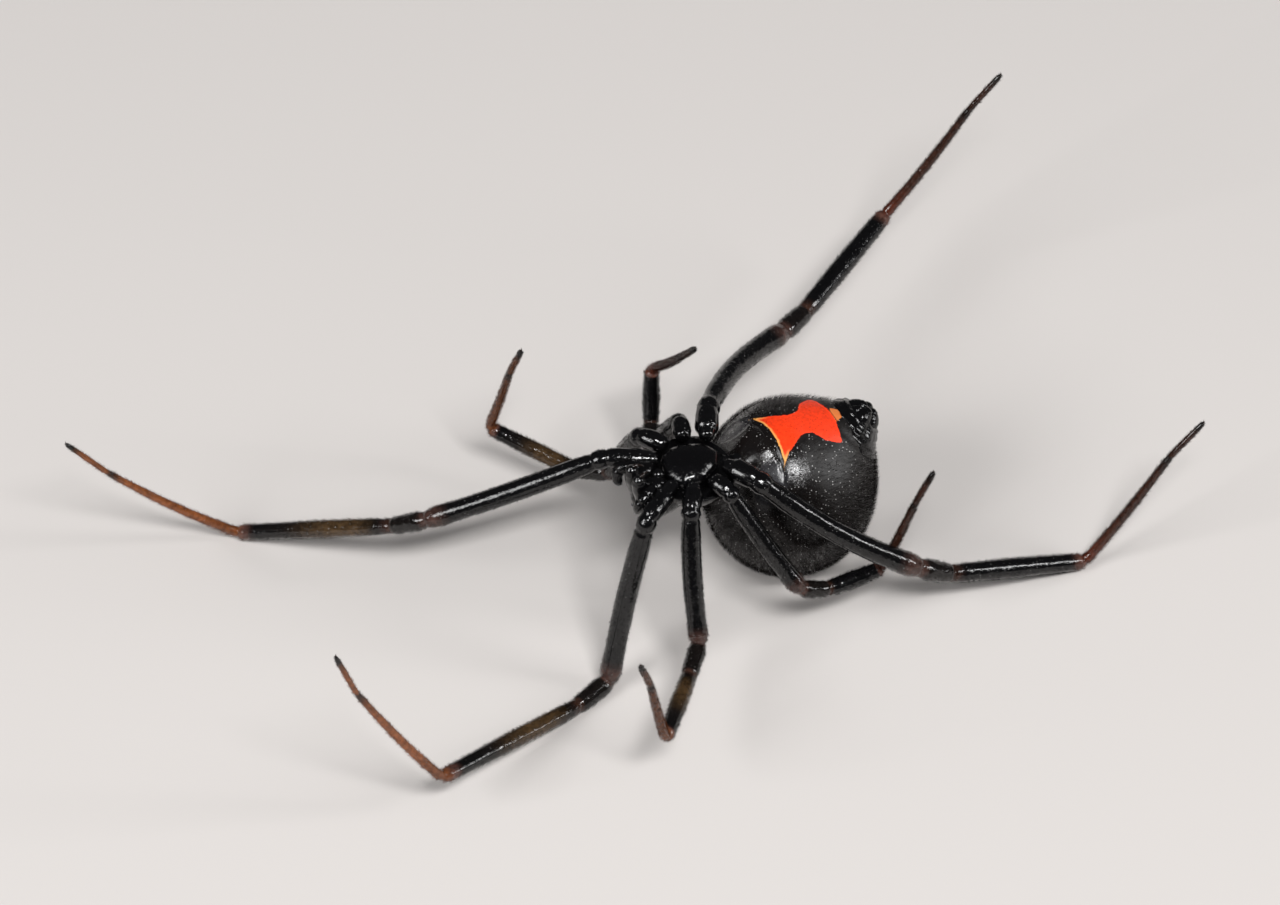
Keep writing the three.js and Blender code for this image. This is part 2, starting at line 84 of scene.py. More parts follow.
# %% The four pairs of legs
leg_parts = ("coxa", "femur", "patella", "tibia", "metatarsus", "tarsus")
leg_pairs = (
    {
        "root": (1.2, 0.74),
        "hip": (2.64, 1.62),
        "lengths": (7.25, 1.6, 6.95, 6.55, 2.4),
        "half": {"root": 0.33, "hip": 0.38, "thigh": 0.4, "knee": 0.41, "shin": 0.33, "ankle": 0.31},
        "foot": (0.185, 0.115, 0.1),
    },
    {
        "root": (0.55, 1.24),
        "hip": (1.06, 1.96),
        "lengths": (5.25, 1.55, 3.65, 4.1, 1.75),
        "half": {"root": 0.33, "hip": 0.37, "thigh": 0.38, "knee": 0.38, "shin": 0.31, "ankle": 0.29},
        "foot": (0.175, 0.115, 0.105),
    },
    {
        "root": (-0.33, 1.28),
        "hip": (-0.54, 1.88),
        "lengths": (4.95, 1.25, 2.25, 3.05, 1.45),
        "half": {"root": 0.33, "hip": 0.35, "thigh": 0.36, "knee": 0.37, "shin": 0.31, "ankle": 0.28},
        "foot": (0.17, 0.12, 0.105),
    },
    {
        "root": (-1.1, 0.86),
        "hip": (-1.66, 1.86),
        "lengths": (7.35, 1.55, 5.8, 5.6, 1.85),
        "half": {"root": 0.33, "hip": 0.44, "thigh": 0.42, "knee": 0.45, "shin": 0.37, "ankle": 0.33},
        "foot": (0.2, 0.135, 0.115),
    },
)
for number, pair in enumerate(leg_pairs, 1):
    print("the legs of pair", number, "are", round(sum(pair["lengths"]), 2), "mm long past the hip")

# %% The pose of the legs
# Turns of the femur, of the patella with the tibia, and of the foot; heights of the knee, the
# patella's end, the ankle, the metatarsus's end and the tip, where 0 is a joint on the floor; and
# how far the femur bows forward.
leg_pose = {
    "L1": ((24, 48, 16), (4.15, 3.25, 0, 4.9, 6.85), 0.1),
    "L2": ((92, 52, -112), (2.5, 1.9, 2.65, 6.6, 8.25), 0.1),
    "L3": ((93, 119, -98), (2.9, 2.85, 4.85, 7.25, 8.45), 0.1),
    "L4": ((143, 151, 187), (4.4, 4.05, 4.2, 8.75, 10.15), 0.4),
    "R1": ((28, 16, -13), (0, 0, 2.1, 7.95, 10.25), 0.1),
    "R2": ((69, 48, 25), (2.6, 2.6, 3.4, 7.4, 9.05), 0.1),
    "R3": ((125, 178, 188), (3.2, 2.6, 2.6, 5.3, 6.5), 0.1),
    "R4": ((145, 174, 174), (3, 2.1, 0, 4.9, 6.25), 0.4),
}


def side_and_pair(name):
    """Which side a leg is on, -1 for left and 1 for right, and the number of its pair from 0."""
    return -1 if name[0] == "L" else 1, int(name[1]) - 1


def leg_joints(name):
    """The joints of a leg from its root on the body to its tip."""
    side, number = side_and_pair(name)
    pair = leg_pairs[number]
    turns, heights, _ = leg_pose[name]
    joints = [body_point(*pair["root"], hip_height, side), body_point(*pair["hip"], hip_height, side)]
    part_turns = (turns[0], turns[1], turns[1], turns[2], turns[2])
    resting = (pair["half"]["knee"], pair["half"]["shin"], pair["half"]["ankle"], 0, 0)
    for length, turn, height, half in zip(pair["lengths"], part_turns, heights, resting):
        goal = height or half - rest_flat
        rise = math.degrees(math.asin((goal - joints[-1].z) / length))
        joints.append(joints[-1] + direction(side * turn, rise) * length)
    return joints


for name in leg_pose:
    low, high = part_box(f"leg_{name}_foot")
    tip = to_world @ leg_joints(name)[-1]
    print(name, "tip is", round(max(tip.z - high.z, low.z - tip.z) / mm, 2), "mm from its solid's top")

# %% [markdown]
# ## Finishes
# The cuticle of a black widow is a thin hard shell like black lacquer. Its colour is nearly
# black, so what the eye reads is the gloss: long streaks on the legs, and hundreds of tiny glints
# from the sockets of the hairs. A photograph could be projected on the mesh, but only one side has
# one, so a Principled shader with a dark base does it: noise breaks up its low roughness, and its
# bump has broad swells, fine grain and small tilted facets. Pale grey specks are painted into the
# base colour as well: they are painted glints. Patterns are measured in millimetres, so a Mapping
# node enlarges the Object coordinates a thousandfold.

# %% Helpers for node trees
per_metre = 1000


def node(tree, kind, **values):
    """A new node with the values of its inputs or its settings."""
    made = tree.nodes.new(kind)
    for key, value in values.items():
        if key in made.inputs:
            made.inputs[key].default_value = value
        else:
            setattr(made, key, value)
    return made


def wire(tree, start, end):
    tree.links.new(start, end)


def feed(tree, value, socket):
    """Gives a socket another node's output, a colour or a number."""
    if isinstance(value, bpy.types.NodeSocket):
        wire(tree, value, socket)
    else:
        socket.default_value = (*value, 1) if isinstance(value, tuple) else value


def math_value(tree, operation, first, second):
    made = node(tree, "ShaderNodeMath", operation=operation)
    feed(tree, first, made.inputs[0])
    feed(tree, second, made.inputs[1])
    return made.outputs[0]


def new_finish(name, roughness, specular=0.5):
    """A material with one Principled shader, returned with its tree, shader and millimetre space."""
    material = bpy.data.materials.new(name)
    material.use_nodes = True
    tree = material.node_tree
    shader = tree.nodes["Principled BSDF"]
    shader.inputs["Roughness"].default_value = roughness
    shader.inputs["Specular IOR Level"].default_value = specular
    place = node(tree, "ShaderNodeTexCoord")
    space = node(tree, "ShaderNodeMapping")
    space.inputs["Scale"].default_value = (per_metre,) * 3
    wire(tree, place.outputs["Object"], space.inputs["Vector"])
    return material, tree, shader, space.outputs["Vector"]


def noise_value(tree, space, scale, detail=3, distortion=0):
    noise = node(tree, "ShaderNodeTexNoise", Scale=scale, Detail=detail, Distortion=distortion)
    wire(tree, space, noise.inputs["Vector"])
    return noise.outputs["Fac"]


def ranged(tree, value, low, high, from_low=0.3, from_high=0.7):
    """A value stretched from one range to another and held inside it."""
    change = node(tree, "ShaderNodeMapRange")
    for key, number in zip(("From Min", "From Max", "To Min", "To Max"), (from_low, from_high, low, high)):
        change.inputs[key].default_value = number
    wire(tree, value, change.inputs["Value"])
    return change.outputs["Result"]


def mixed(tree, share, first, second, blend="MIX"):
    """Two colours mixed by a share. Each may be a colour or another node's output."""
    mix = node(tree, "ShaderNodeMix", data_type="RGBA", blend_type=blend)
    # A Mix node keeps its colour sockets after those for numbers and vectors
    for place, value in ((0, share), (6, first), (7, second)):
        feed(tree, value, mix.inputs[place])
    return mix.outputs[2]


def bumped(tree, shader, heights):
    """Chains bumps of (value, depth in millimetres) into the shader's normal."""
    last = None
    for value, depth in heights:
        bump = node(tree, "ShaderNodeBump", Distance=depth * mm)
        wire(tree, value, bump.inputs["Height"])
        if last:
            wire(tree, last, bump.inputs["Normal"])
        last = bump.outputs["Normal"]
    wire(tree, last, shader.inputs["Normal"])


def ramp(tree, value, stops):
    """A colour ramp with stops of (position, colour)."""
    made = node(tree, "ShaderNodeValToRGB")
    elements = made.color_ramp.elements
    while len(elements) < len(stops):
        elements.new(0.5)
    for element, (position, colour) in zip(elements, stops):
        element.position = position
        element.color = (*colour, 1)
    wire(tree, value, made.inputs["Fac"])
    return made.outputs["Color"]


def attribute(tree, name, output="Fac"):
    return node(tree, "ShaderNodeAttribute", attribute_name=name).outputs[output]


def specks(tree, space, scale, radius, kept):
    """1 in small round specks, one in some of the cells of a scatter, and 0 around them."""
    cells = node(tree, "ShaderNodeTexVoronoi", Scale=scale)
    wire(tree, space, cells.inputs["Vector"])
    spot = ranged(tree, cells.outputs["Distance"], 1, 0, radius * 0.6, radius)
    number = node(tree, "ShaderNodeSeparateColor")
    wire(tree, cells.outputs["Color"], number.inputs["Color"])
    chosen = ranged(tree, number.outputs["Red"], 1, 0, kept, kept + 0.15)
    return math_value(tree, "MULTIPLY", spot, chosen)


def facets(tree, space, scale, radius, kept):
    """Heights of small flat facets, one in some of the cells of a scatter, each tilted its own way."""
    cells = node(tree, "ShaderNodeTexVoronoi", Scale=scale)
    wire(tree, space, cells.inputs["Vector"])
    away = node(tree, "ShaderNodeVectorMath", operation="SUBTRACT")
    wire(tree, space, away.inputs[0])
    wire(tree, cells.outputs["Position"], away.inputs[1])
    tilt = node(tree, "ShaderNodeVectorMath", operation="SUBTRACT")
    tilt.inputs[1].default_value = (0.5, 0.5, 0.5)
    wire(tree, cells.outputs["Color"], tilt.inputs[0])
    height = node(tree, "ShaderNodeVectorMath", operation="DOT_PRODUCT")
    wire(tree, away.outputs["Vector"], height.inputs[0])
    wire(tree, tilt.outputs["Vector"], height.inputs[1])
    return math_value(tree, "MULTIPLY", height.outputs["Value"], specks(tree, space, scale, radius, kept))


print("the node helpers are ready")

# %% Colours
black = (0.0018, 0.0017, 0.002)
warm_black = (0.0055, 0.004, 0.0034)
dark_brown = (0.04, 0.018, 0.012)
knee_brown = (0.05, 0.025, 0.02)
ankle_brown = (0.1, 0.045, 0.034)
olive_brown = (0.056, 0.032, 0.014)
fore_foot = (0.24, 0.076, 0.025)
hind_foot = (0.028, 0.011, 0.007)
# Pale specks painted on the legs as glints: painted highlights, not a colour of the cuticle.
leg_painted_glint = (0.26, 0.255, 0.25)
# Pale specks painted on the abdomen as the glints of hair sockets: painted highlights.
belly_painted_glint = (0.45, 0.44, 0.43)
root_red = (0.075, 0.019, 0.01)
mark_red = (0.97, 0.052, 0.01)
mark_orange = (0.92, 0.42, 0.11)
# The book-lung plates: a little paler than the skin, and grey beyond that as a painted sheen.
plate_grey_and_sheen = (0.06, 0.059, 0.065)
spot_orange = (0.72, 0.2, 0.05)
print("the mark is", mark_red, "and the legs' bands are", olive_brown)

# %% [markdown]
# The legs change colour along their length. Each leg's mesh carries an attribute called way:
# the number of the part, from 0 at the coxa to 5 at the tarsus, plus the share of that part. A
# colour ramp reads it, so the bands sit on the joints whatever the pose. Fore legs have an olive
# band on the tibia and orange brown feet, hind legs are darker.

# %% The finish of the legs
def darker(colour, share):
    return tuple(channel * share for channel in colour)


def leg_stops(band, root, foot, foot_end):
    """The ramp's stops, in ways from 0 to 6: a part's number and the share of the part."""
    stops = [
        (0, black),
        (1.86, black),
        (1.93, knee_brown),
        (2.04, knee_brown),
        (2.16, warm_black),
        (2.9, warm_black),
        (3.0, dark_brown),
        (3.08, black),
    ]
    if band:
        stops += [(3.12, darker(olive_brown, 0.3)), (3.24, olive_brown), (3.38, olive_brown)]
        stops += [(3.66, warm_black)]
    stops += [(3.88, black), (3.94, ankle_brown), (4.0, root), (4.1, root), (4.3, foot), (4.88, foot_end)]
    stops += [(4.98, warm_black), (5.06, foot_end), (5.6, foot_end), (5.88, warm_black)]
    return [(way / len(leg_parts), colour) for way, colour in stops]


leg_colours = {
    "fore": leg_stops(True, darker(fore_foot, 0.6), fore_foot, darker(fore_foot, 0.8)),
    "middle": leg_stops(True, darker(fore_foot, 0.5), darker(fore_foot, 0.45), darker(fore_foot, 0.35)),
    "hind": leg_stops(False, root_red, darker(hind_foot, 1.5), hind_foot),
}
pair_finish = ("fore", "middle", "hind", "hind")


def leg_colour(tree, space, kind):
    """The colour along a leg, with cloudy patches up to a third lighter or half darker, and pale specks
    painted as glints.
    """
    way = math_value(tree, "DIVIDE", attribute(tree, "way"), len(leg_parts))
    along = ramp(tree, way, leg_colours[kind])
    clouds = ranged(tree, noise_value(tree, space, 5), 0.55, 1.35)
    cloudy = mixed(tree, 1.0, along, clouds, "MULTIPLY")
    # Pale specks painted as glints: painted highlights.
    return mixed(tree, specks(tree, space, 8, 0.13, 0.28), cloudy, leg_painted_glint)


def cuticle_gloss(tree, shader, space, low=0.08, high=0.16):
    """Lacquer gloss with a patchy sheen, broad swells, fine grain and the facets of hair sockets."""
    wire(tree, ranged(tree, noise_value(tree, space, 9, 4), low, high), shader.inputs["Roughness"])
    grain = noise_value(tree, space, 26, 4)
    swells = noise_value(tree, space, 3.2, 2)
    bumped(tree, shader, ((swells, 0.02), (grain, 0.002), (facets(tree, space, 13, 0.5, 0.45), 0.3)))


def leg_finish(kind):
    material, tree, shader, space = new_finish(f"cuticle_{kind}_legs", 0.2, 0.5)
    wire(tree, leg_colour(tree, space, kind), shader.inputs["Base Color"])
    cuticle_gloss(tree, shader, space)
    return material


leg_finishes = {kind: leg_finish(kind) for kind in leg_colours}
print("leg finishes:", sorted(leg_finishes))

# %% The black cuticle of the front body
def body_finish(name, colour, low, high, coat=0.0):
    material, tree, shader, space = new_finish(name, low, 0.4)
    clouds = noise_value(tree, space, 4)
    wire(tree, mixed(tree, clouds, darker(colour, 0.7), darker(colour, 1.4)), shader.inputs["Base Color"])
    cuticle_gloss(tree, shader, space, low, high)
    shader.inputs["Coat Weight"].default_value = coat
    shader.inputs["Coat Roughness"].default_value = 0.06
    return material


black_cuticle = body_finish("black_cuticle", black, 0.08, 0.17)
fang_cuticle = body_finish("fang_cuticle", darker(dark_brown, 0.2), 0.12, 0.2, 0.3)
eye_finish = body_finish("eye_lens", (0.006, 0.005, 0.006), 0.04, 0.07, 1.0)
claw_finish = body_finish("claw_cuticle", (0.02, 0.009, 0.006), 0.2, 0.3, 0.2)
print("body finishes:", black_cuticle.name, fang_cuticle.name, eye_finish.name, claw_finish.name)

# %% [markdown]
# ## Turning a bmesh into a piece
# A bmesh is a mesh in the making. Every piece ends the same way: its faces are made to point
# outwards, it goes from the body's millimetres to the scene's metres, it rides on the model's one
# body, and the solids that it stands for are hidden. One function does that for all of them, so no
# piece is forgotten or turned otherwise.

# %% The functions that finish a piece
def link_object(name, data):
    """A new object with this data, linked to the scene at its origin."""
    made = bpy.data.objects.new(name, data)
    bpy.context.scene.collection.objects.link(made)
    return made


def finish_piece(name, bm, material, replaced=()):
    """A scene piece from a bmesh in body millimetres, which stands for the solids named."""
    bmesh.ops.remove_doubles(bm, verts=bm.verts, dist=1e-5)
    bmesh.ops.recalc_face_normals(bm, faces=bm.faces)
    bmesh.ops.transform(bm, matrix=to_world, verts=bm.verts)
    mesh = bpy.data.meshes.new(name)
    bm.to_mesh(mesh)
    bm.free()
    mesh.shade_smooth()
    mesh.materials.append(material)
    piece = link_object(name, mesh)
    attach(piece, "root")
    if replaced:
        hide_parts(*replaced)
    print(name, "has", sum(len(face.vertices) - 2 for face in mesh.polygons), "triangles")
    return piece


# %% [markdown]
# ## Limbs
# A spider's leg is a row of stiff tubes joined by soft necks. It could be made as separate tubes,
# but then seams would show, so each leg is one skin: rings of edges are set along a route that
# rounds each joint, and neighbouring rings are bridged. The ring's size follows a table of half
# thicknesses, which swells at the knees and narrows at the necks.

# %% Frames along a route
def ring_places(points, across):
    """A matrix at each point of a route, turned along it without twisting."""
    places = []
    along = (points[1] - points[0]).normalized()
    across = (across - along * across.dot(along)).normalized()
    for i, point in enumerate(points):
        ahead = (points[min(i + 1, len(points) - 1)] - points[max(i - 1, 0)]).normalized()
        across = along.rotation_difference(ahead) @ across
        along = ahead
        place = Matrix((across, along.cross(across), along)).transposed().to_4x4()
        place.translation = point
        places.append(place)
    return places


straight = [Vector((0, 0, height)) for height in range(3)]
print("a straight route keeps its turn:", ring_places(straight, Vector((1, 0, 0)))[2].col[0])

# %% Sizes between the rows of a table
def smooth_between(table, place):
    """The value at a place in a table of (place, value), eased between its rows."""
    for (start, first), (end, second) in zip(table, table[1:]):
        if place <= end:
            share = min(max((place - start) / (end - start), 0), 1)
            return first + (second - first) * share * share * (3 - 2 * share)
    return table[-1][1]


print("a quarter of the way from 0 to 1 it gives", smooth_between(((0, 0), (1, 1)), 0.25))

# %% A tube of bridged rings
unwrap_width = 0.95


def add_tube(bm, places, halves, ways, sides):
    """Bridges rings along a route, closes both ends and marks every vertex with its way and lie."""
    way_layer = bm.verts.layers.float.get("way") or bm.verts.layers.float.new("way")
    lie_layer = bm.verts.layers.float_vector.get("lie") or bm.verts.layers.float_vector.new("lie")
    turn_layer = bm.verts.layers.float.get("turn") or bm.verts.layers.float.new("turn")
    uv_layer = bm.loops.layers.uv.get("unwrap") or bm.loops.layers.uv.new("unwrap")
    last_edges = None
    sleeve = []
    for place, half, way in zip(places, halves, ways):
        ring = bmesh.ops.create_circle(bm, segments=sides, radius=half, matrix=place)["verts"]
        for step, vert in enumerate(ring):
            vert[way_layer] = way
            vert[lie_layer] = place.col[2].to_3d()
            vert[turn_layer] = step / sides
        edges = list(dict.fromkeys(edge for vert in ring for edge in vert.link_edges))
        if last_edges:
            sleeve += bmesh.ops.bridge_loops(bm, edges=last_edges + edges)["faces"]
        else:
            bmesh.ops.edgeloop_fill(bm, edges=edges)
        last_edges = edges
    bmesh.ops.edgeloop_fill(bm, edges=last_edges)
    # The unwrap goes round the limb and along it, and the last strip crosses its seam
    for face in sleeve:
        turns = [loop.vert[turn_layer] for loop in face.loops]
        crosses = max(turns) - min(turns) > 0.5
        for loop, turn in zip(face.loops, turns):
            u = turn + 1 if crosses and turn < 0.5 else turn
            loop[uv_layer].uv = (u * unwrap_width, loop.vert[way_layer] / max(ways))


print("a limb is a row of bridged rings")

# %% The route of a leg
corner_reach = 0.42
corner_share = 0.36
corner_steps = 14
fine_step = 0.05
coarse_step = 0.17
fine_zone = 0.62
root_reach = 0.22
foot_bow = 0.03


def leg_route(name):
    """Points along the leg's middle with the way of each, rounded at the joints."""
    joints = leg_joints(name)
    joints[0] += (joints[0] - joints[1]).normalized() * root_reach
    turns, _, bow = leg_pose[name]
    side, _ = side_and_pair(name)
    forward = direction(side * turns[0] + 90, 0) * -side * bow
    lengths = [(end - start).length for start, end in zip(joints, joints[1:])]
    last = len(lengths) - 1

    def part_point(part, share):
        bow_ways = {"femur": forward, "metatarsus": Vector((0, 0, -foot_bow)) * lengths[part]}
        bend = bow_ways.get(leg_parts[part], Vector()) * math.sin(math.pi * share)
        return joints[part].lerp(joints[part + 1], share) + bend

    def corner(part):
        """How far the joint before this part is rounded off."""
        return min(corner_reach, corner_share * lengths[part - 1], corner_share * lengths[part])

    points = []
    ways = []
    for part, length in enumerate(lengths):
        before = corner(part) if part else 0
        after = corner(part + 1) if part < last else 0
        place = before
        while place < length - after - 1e-6:
            points.append(part_point(part, place / length))
            ways.append(part + place / length)
            near_end = min(place - before, length - after - place) < fine_zone
            place = min(place + (fine_step if near_end else coarse_step), length - after)
        points.append(part_point(part, (length - after) / length))
        ways.append(part + 1 - after / length)
        if part == last:
            break
        start = points[-1]
        end = part_point(part + 1, after / lengths[part + 1])
        for step in range(1, corner_steps):
            share = step / corner_steps
            first = start.lerp(joints[part + 1], share)
            second = joints[part + 1].lerp(end, share)
            points.append(first.lerp(second, share))
            past = 2 * share - 1
            reach = length if past < 0 else lengths[part + 1]
            ways.append(part + 1 + past * after / reach)
    return points, ways


points, ways = leg_route("L1")
print("leg L1 has", len(points), "rings over", round(ways[-1], 2), "parts")

# %% How thick a leg is along its way
coat_depth = 0.02


def leg_table(pair):
    """Half thicknesses by way. The skin lies inside the solids by the depth of the coat."""
    half = {part: value - coat_depth for part, value in pair["half"].items()}
    foot_start, foot_end, toe = pair["foot"]
    hip, thigh, knee, shin, ankle = (half[key] for key in ("hip", "thigh", "knee", "shin", "ankle"))
    root = half["root"]
    coxa = ((0, root * 0.5), (0.07, root * 0.86), (0.2, root), (0.4, hip + 0.02), (0.75, hip + 0.01))
    coxa_neck = ((0.93, hip - 0.01), (0.985, hip - 0.07))
    trochanter = ((1.008, hip - 0.01), (1.03, hip + 0.01), (1.052, hip - 0.005), (1.072, hip - 0.055))
    femur = ((1.1, thigh - 0.035), (1.2, thigh - 0.005), (1.55, thigh), (1.8, knee - 0.02))
    femur_end = ((1.93, knee + 0.01), (1.975, knee - 0.04), (2.0, knee * 0.72))
    patella = ((2.05, knee - 0.08), (2.25, knee - 0.03), (2.7, knee - 0.05), (2.93, shin + 0.005))
    tibia = ((3.0, shin * 0.8), (3.025, shin - 0.03), (3.12, shin), (3.45, shin + 0.015))
    tibia_end = ((3.85, shin - 0.02), (3.955, ankle), (3.985, ankle - 0.05), (4.0, ankle * 0.6))
    metatarsus = ((4.03, foot_start * 1.05), (4.1, foot_start * 0.92), (4.5, (foot_start + foot_end) / 2))
    foot_joint = ((4.96, foot_end), (5.0, foot_end * 0.82))
    tarsus = ((5.06, toe), (5.5, toe), (5.86, toe * 0.92), (5.96, toe * 0.78), (6, toe * 0.45))
    upper = (*coxa, *coxa_neck, *trochanter, *femur, *femur_end)
    return (*upper, *patella, *tibia, *tibia_end, *metatarsus, *foot_joint, *tarsus)


print("the first leg is", 2 * smooth_between(leg_table(leg_pairs[0]), 1.55), "mm thick at its thigh")

# %% Build the eight legs
leg_sides = 24
floor_clearance = 0.002
leg_skins = {}
for name in leg_pose:
    side, number = side_and_pair(name)
    table = leg_table(leg_pairs[number])
    points, ways = leg_route(name)
    bm = bmesh.new()
    places = ring_places(points, direction(side * leg_pose[name][0][0] + 90, 0))
    add_tube(bm, places, [smooth_between(table, way) for way in ways], ways, leg_sides)
    for vert in bm.verts:
        vert.co.z = max(vert.co.z, floor_clearance)
    leg_skins[name] = finish_piece(
        f"leg_skin_{name}",
        bm,
        leg_finishes[pair_finish[number]],
        [f"leg_{name}_{part}" for part in ("coxa", "femur", "patella", "tibia", "foot")],
    )

# %% [markdown]
# ## The abdomen
# The abdomen is a deep globe of soft skin. Sculpting it would be quick by hand, but a formula can
# be used twice: the skin's vertices and the hair roots both ask it where the surface is. It
# starts as a ball from an operator, and every vertex moves out along its own direction. Two wide
# swellings fill its front and its rise to the spinnerets. On the belly a smooth dome lies before
# the mark, with a plate over a book lung on each side and a furrow behind them.

# %% The shape of the abdomen
abdomen_half = Vector((3.28, 3.26, 3.55))
fur_depth = 0.13
front_swelling = (direction(0, 52), 24, 0.14)
tail_way = direction(180, 38.5)
tail_swelling = (tail_way, 24.5, 0.49)
tail_length = 3.62
tail_ring = 23
belly_begins = 0.3
dome_height = 0.17
fold_ahead = 0.94
fold_depth = 0.09
fold_half_width = 1.7


def swell(way, middle, spread):
    """How strongly a swelling lifts the skin in this direction."""
    return math.exp(-((math.degrees(way.angle(middle)) / spread) ** 2))


def furrow(value, width):
    """1 in the middle of a groove, fading to 0 over its width."""
    return math.exp(-((value / width) ** 2))


def dome_share(ahead, aside):
    """1 on the smooth dome between the waist and the mark, 0 around it."""
    return math.exp(-(((ahead - 1.68) / 0.78) ** 4) - (aside / 0.78) ** 4)


def plate_share(ahead, aside):
    """1 on the plates over the book lungs, 0 around them, with the distance from their rims."""
    out = math.hypot((ahead - 1.56) / 0.62, (abs(aside) - 1.42) / 0.56)
    return math.exp(-(out**6)), furrow(out - 1, 0.14)


def abdomen_lift(way):
    """How far the skin stands out past the plain ball, in millimetres."""
    lift = -fur_depth
    for middle, spread, height in (front_swelling, tail_swelling):
        lift += height * swell(way, middle, spread)
    tail_angle = math.degrees(way.angle(tail_way))
    lift -= 0.02 * furrow(tail_angle - tail_ring, 2)
    if way.z < belly_begins:
        return lift
    ahead = way.x * abdomen_half.x
    aside = way.y * abdomen_half.y
    plate, plate_rim = plate_share(ahead, aside)
    lift += dome_height * dome_share(ahead, aside) + 0.035 * plate_rim - 0.03 * plate
    past_fold = ahead - fold_ahead - 0.07 * aside**2
    lift -= fold_depth * furrow(past_fold, 0.07) * math.exp(-((aside / fold_half_width) ** 6))
    lift += 0.05 * furrow(ahead - fold_ahead - 0.18, 0.1) * furrow(aside, 0.3)
    return lift


for label, way in (("belly", direction(0, 90)), ("front", direction(0, 52)), ("tail", tail_way)):
    print("the skin lifts", round(abdomen_lift(way), 3), "mm at the", label)

# %% [markdown]
# ## The hourglass
# The red mark lies on the middle line of the belly: a broad front triangle with drawn-out
# corners, a waist, and a broad rear part with blunt corners. It could be painted by hand on an
# unwrap, but here its outline is half widths at distances ahead of the abdomen's middle. Each
# vertex stores how deep it lies inside the outline, and the material only asks whether that depth
# is above zero, so the edge stays crisp and noise can make it ragged. The same depth gives the
# thin orange rim in front. A small orange spot lies between the mark and the spinnerets.

# %% The outline of the mark
front_triangle = ((0.98, 1.36), (0.9, 1.27), (0.63, 1.0), (0.38, 0.86), (0.05, 0.65))
mark_waist = ((-0.2, 0.54), (-0.42, 0.52), (-0.62, 0.6), (-0.78, 0.8), (-0.95, 1.0))
rear_part = ((-1.2, 1.1), (-1.45, 1.17), (-1.56, 1.1), (-1.66, 0.7), (-1.72, 0.32), (-1.72, 0))
front_edge_ahead = 0.73
front_edge_curve = 0.1157
front_edge = [(front_edge_ahead + front_edge_curve * y**2, y) for y in (0, 0.2, 0.5, 0.85, 1.15)]
half_outline = [Vector(corner) for corner in (*front_edge, *front_triangle, *mark_waist, *rear_part)]
half_spot = [Vector(corner) for corner in ((-1.76, 0), (-1.76, 0.36), (-2.08, 0.2), (-2.12, 0))]


def both_sides(half):
    """A closed outline from its right half, whose ends lie on the middle line."""
    return half + [Vector((point.x, -point.y)) for point in reversed(half[1:-1])]


mark_outline = both_sides(half_outline)
spot_outline = both_sides(half_spot)


def mark_depth(place, outline):
    """How deep a belly point (ahead, aside) lies in an outline, below zero outside it."""
    inside = False
    nearest = 10.0
    for start, end in zip(outline, [*outline[1:], outline[0]]):
        edge = end - start
        share = max(0.0, min(1.0, (place - start).dot(edge) / edge.length_squared))
        nearest = min(nearest, (place - start - edge * share).length)
        if (start.y > place.y) != (end.y > place.y):
            crossing = start.x + (place.y - start.y) * edge.x / edge.y
            inside ^= place.x < crossing
    return nearest if inside else -nearest


print("the mark's outline has", len(mark_outline), "corners")

# %% Build the abdomen
def unwrapped_ball(sides, rings, *stored, turn=Matrix()):
    """A ball of radius 1 with an unwrap, the lie of its hairs and other values to store."""
    bm = bmesh.new()
    bm.loops.layers.uv.new("unwrap")
    layers = [bm.verts.layers.float_vector.new("lie")]
    layers += [bm.verts.layers.float.new(key) for key in stored]
    bmesh.ops.create_uvsphere(bm, u_segments=sides, v_segments=rings, radius=1, matrix=turn, calc_uvs=True)
    return bm, layers


pole_forward = Matrix.Rotation(math.pi / 2, 4, "Y")
bm, layers = unwrapped_ball(224, 150, "mark", "ahead", "plate", "bare", turn=pole_forward)
lie_layer, mark_layer, ahead_layer, plate_layer, bare_layer = layers
far_from_mark = -3.0
for vert in bm.verts:
    way = vert.co.normalized()
    lift = abdomen_lift(way)
    vert.co = Vector(w * (half + lift) for w, half in zip(way, abdomen_half)) + abdomen_middle
    vert[lie_layer] = (Vector((-1, 0, 0)) + way * way.x).normalized()
    on_belly = vert.co.z > abdomen_middle.z
    near_mark = on_belly and vert.co.xy.length < 3
    depths = [mark_depth(vert.co.xy, outline) for outline in (mark_outline, spot_outline) if near_mark]
    vert[mark_layer] = max(depths, default=far_from_mark)
    vert[ahead_layer] = vert.co.x
    if on_belly:
        vert[plate_layer] = plate_share(vert.co.x, vert.co.y)[0]
        vert[bare_layer] = min(vert[plate_layer] + dome_share(vert.co.x, vert.co.y), 1)
    vert.co.z = max(vert.co.z, floor_clearance)
deepest = max(vert[mark_layer] for vert in bm.verts)
print("the deepest point of the mark is", round(deepest, 2), "mm from its edge")


# %% [markdown]
# The abdomen's skin is soft and leathery at the rear and tight and glossy in front, most of all on
# the dome. One material reads all of that from the values that the vertices store, so the borders
# run where the anatomy has them. It is written as a function of the colour alone and one of the
# whole finish, because the hairs take the same colours.

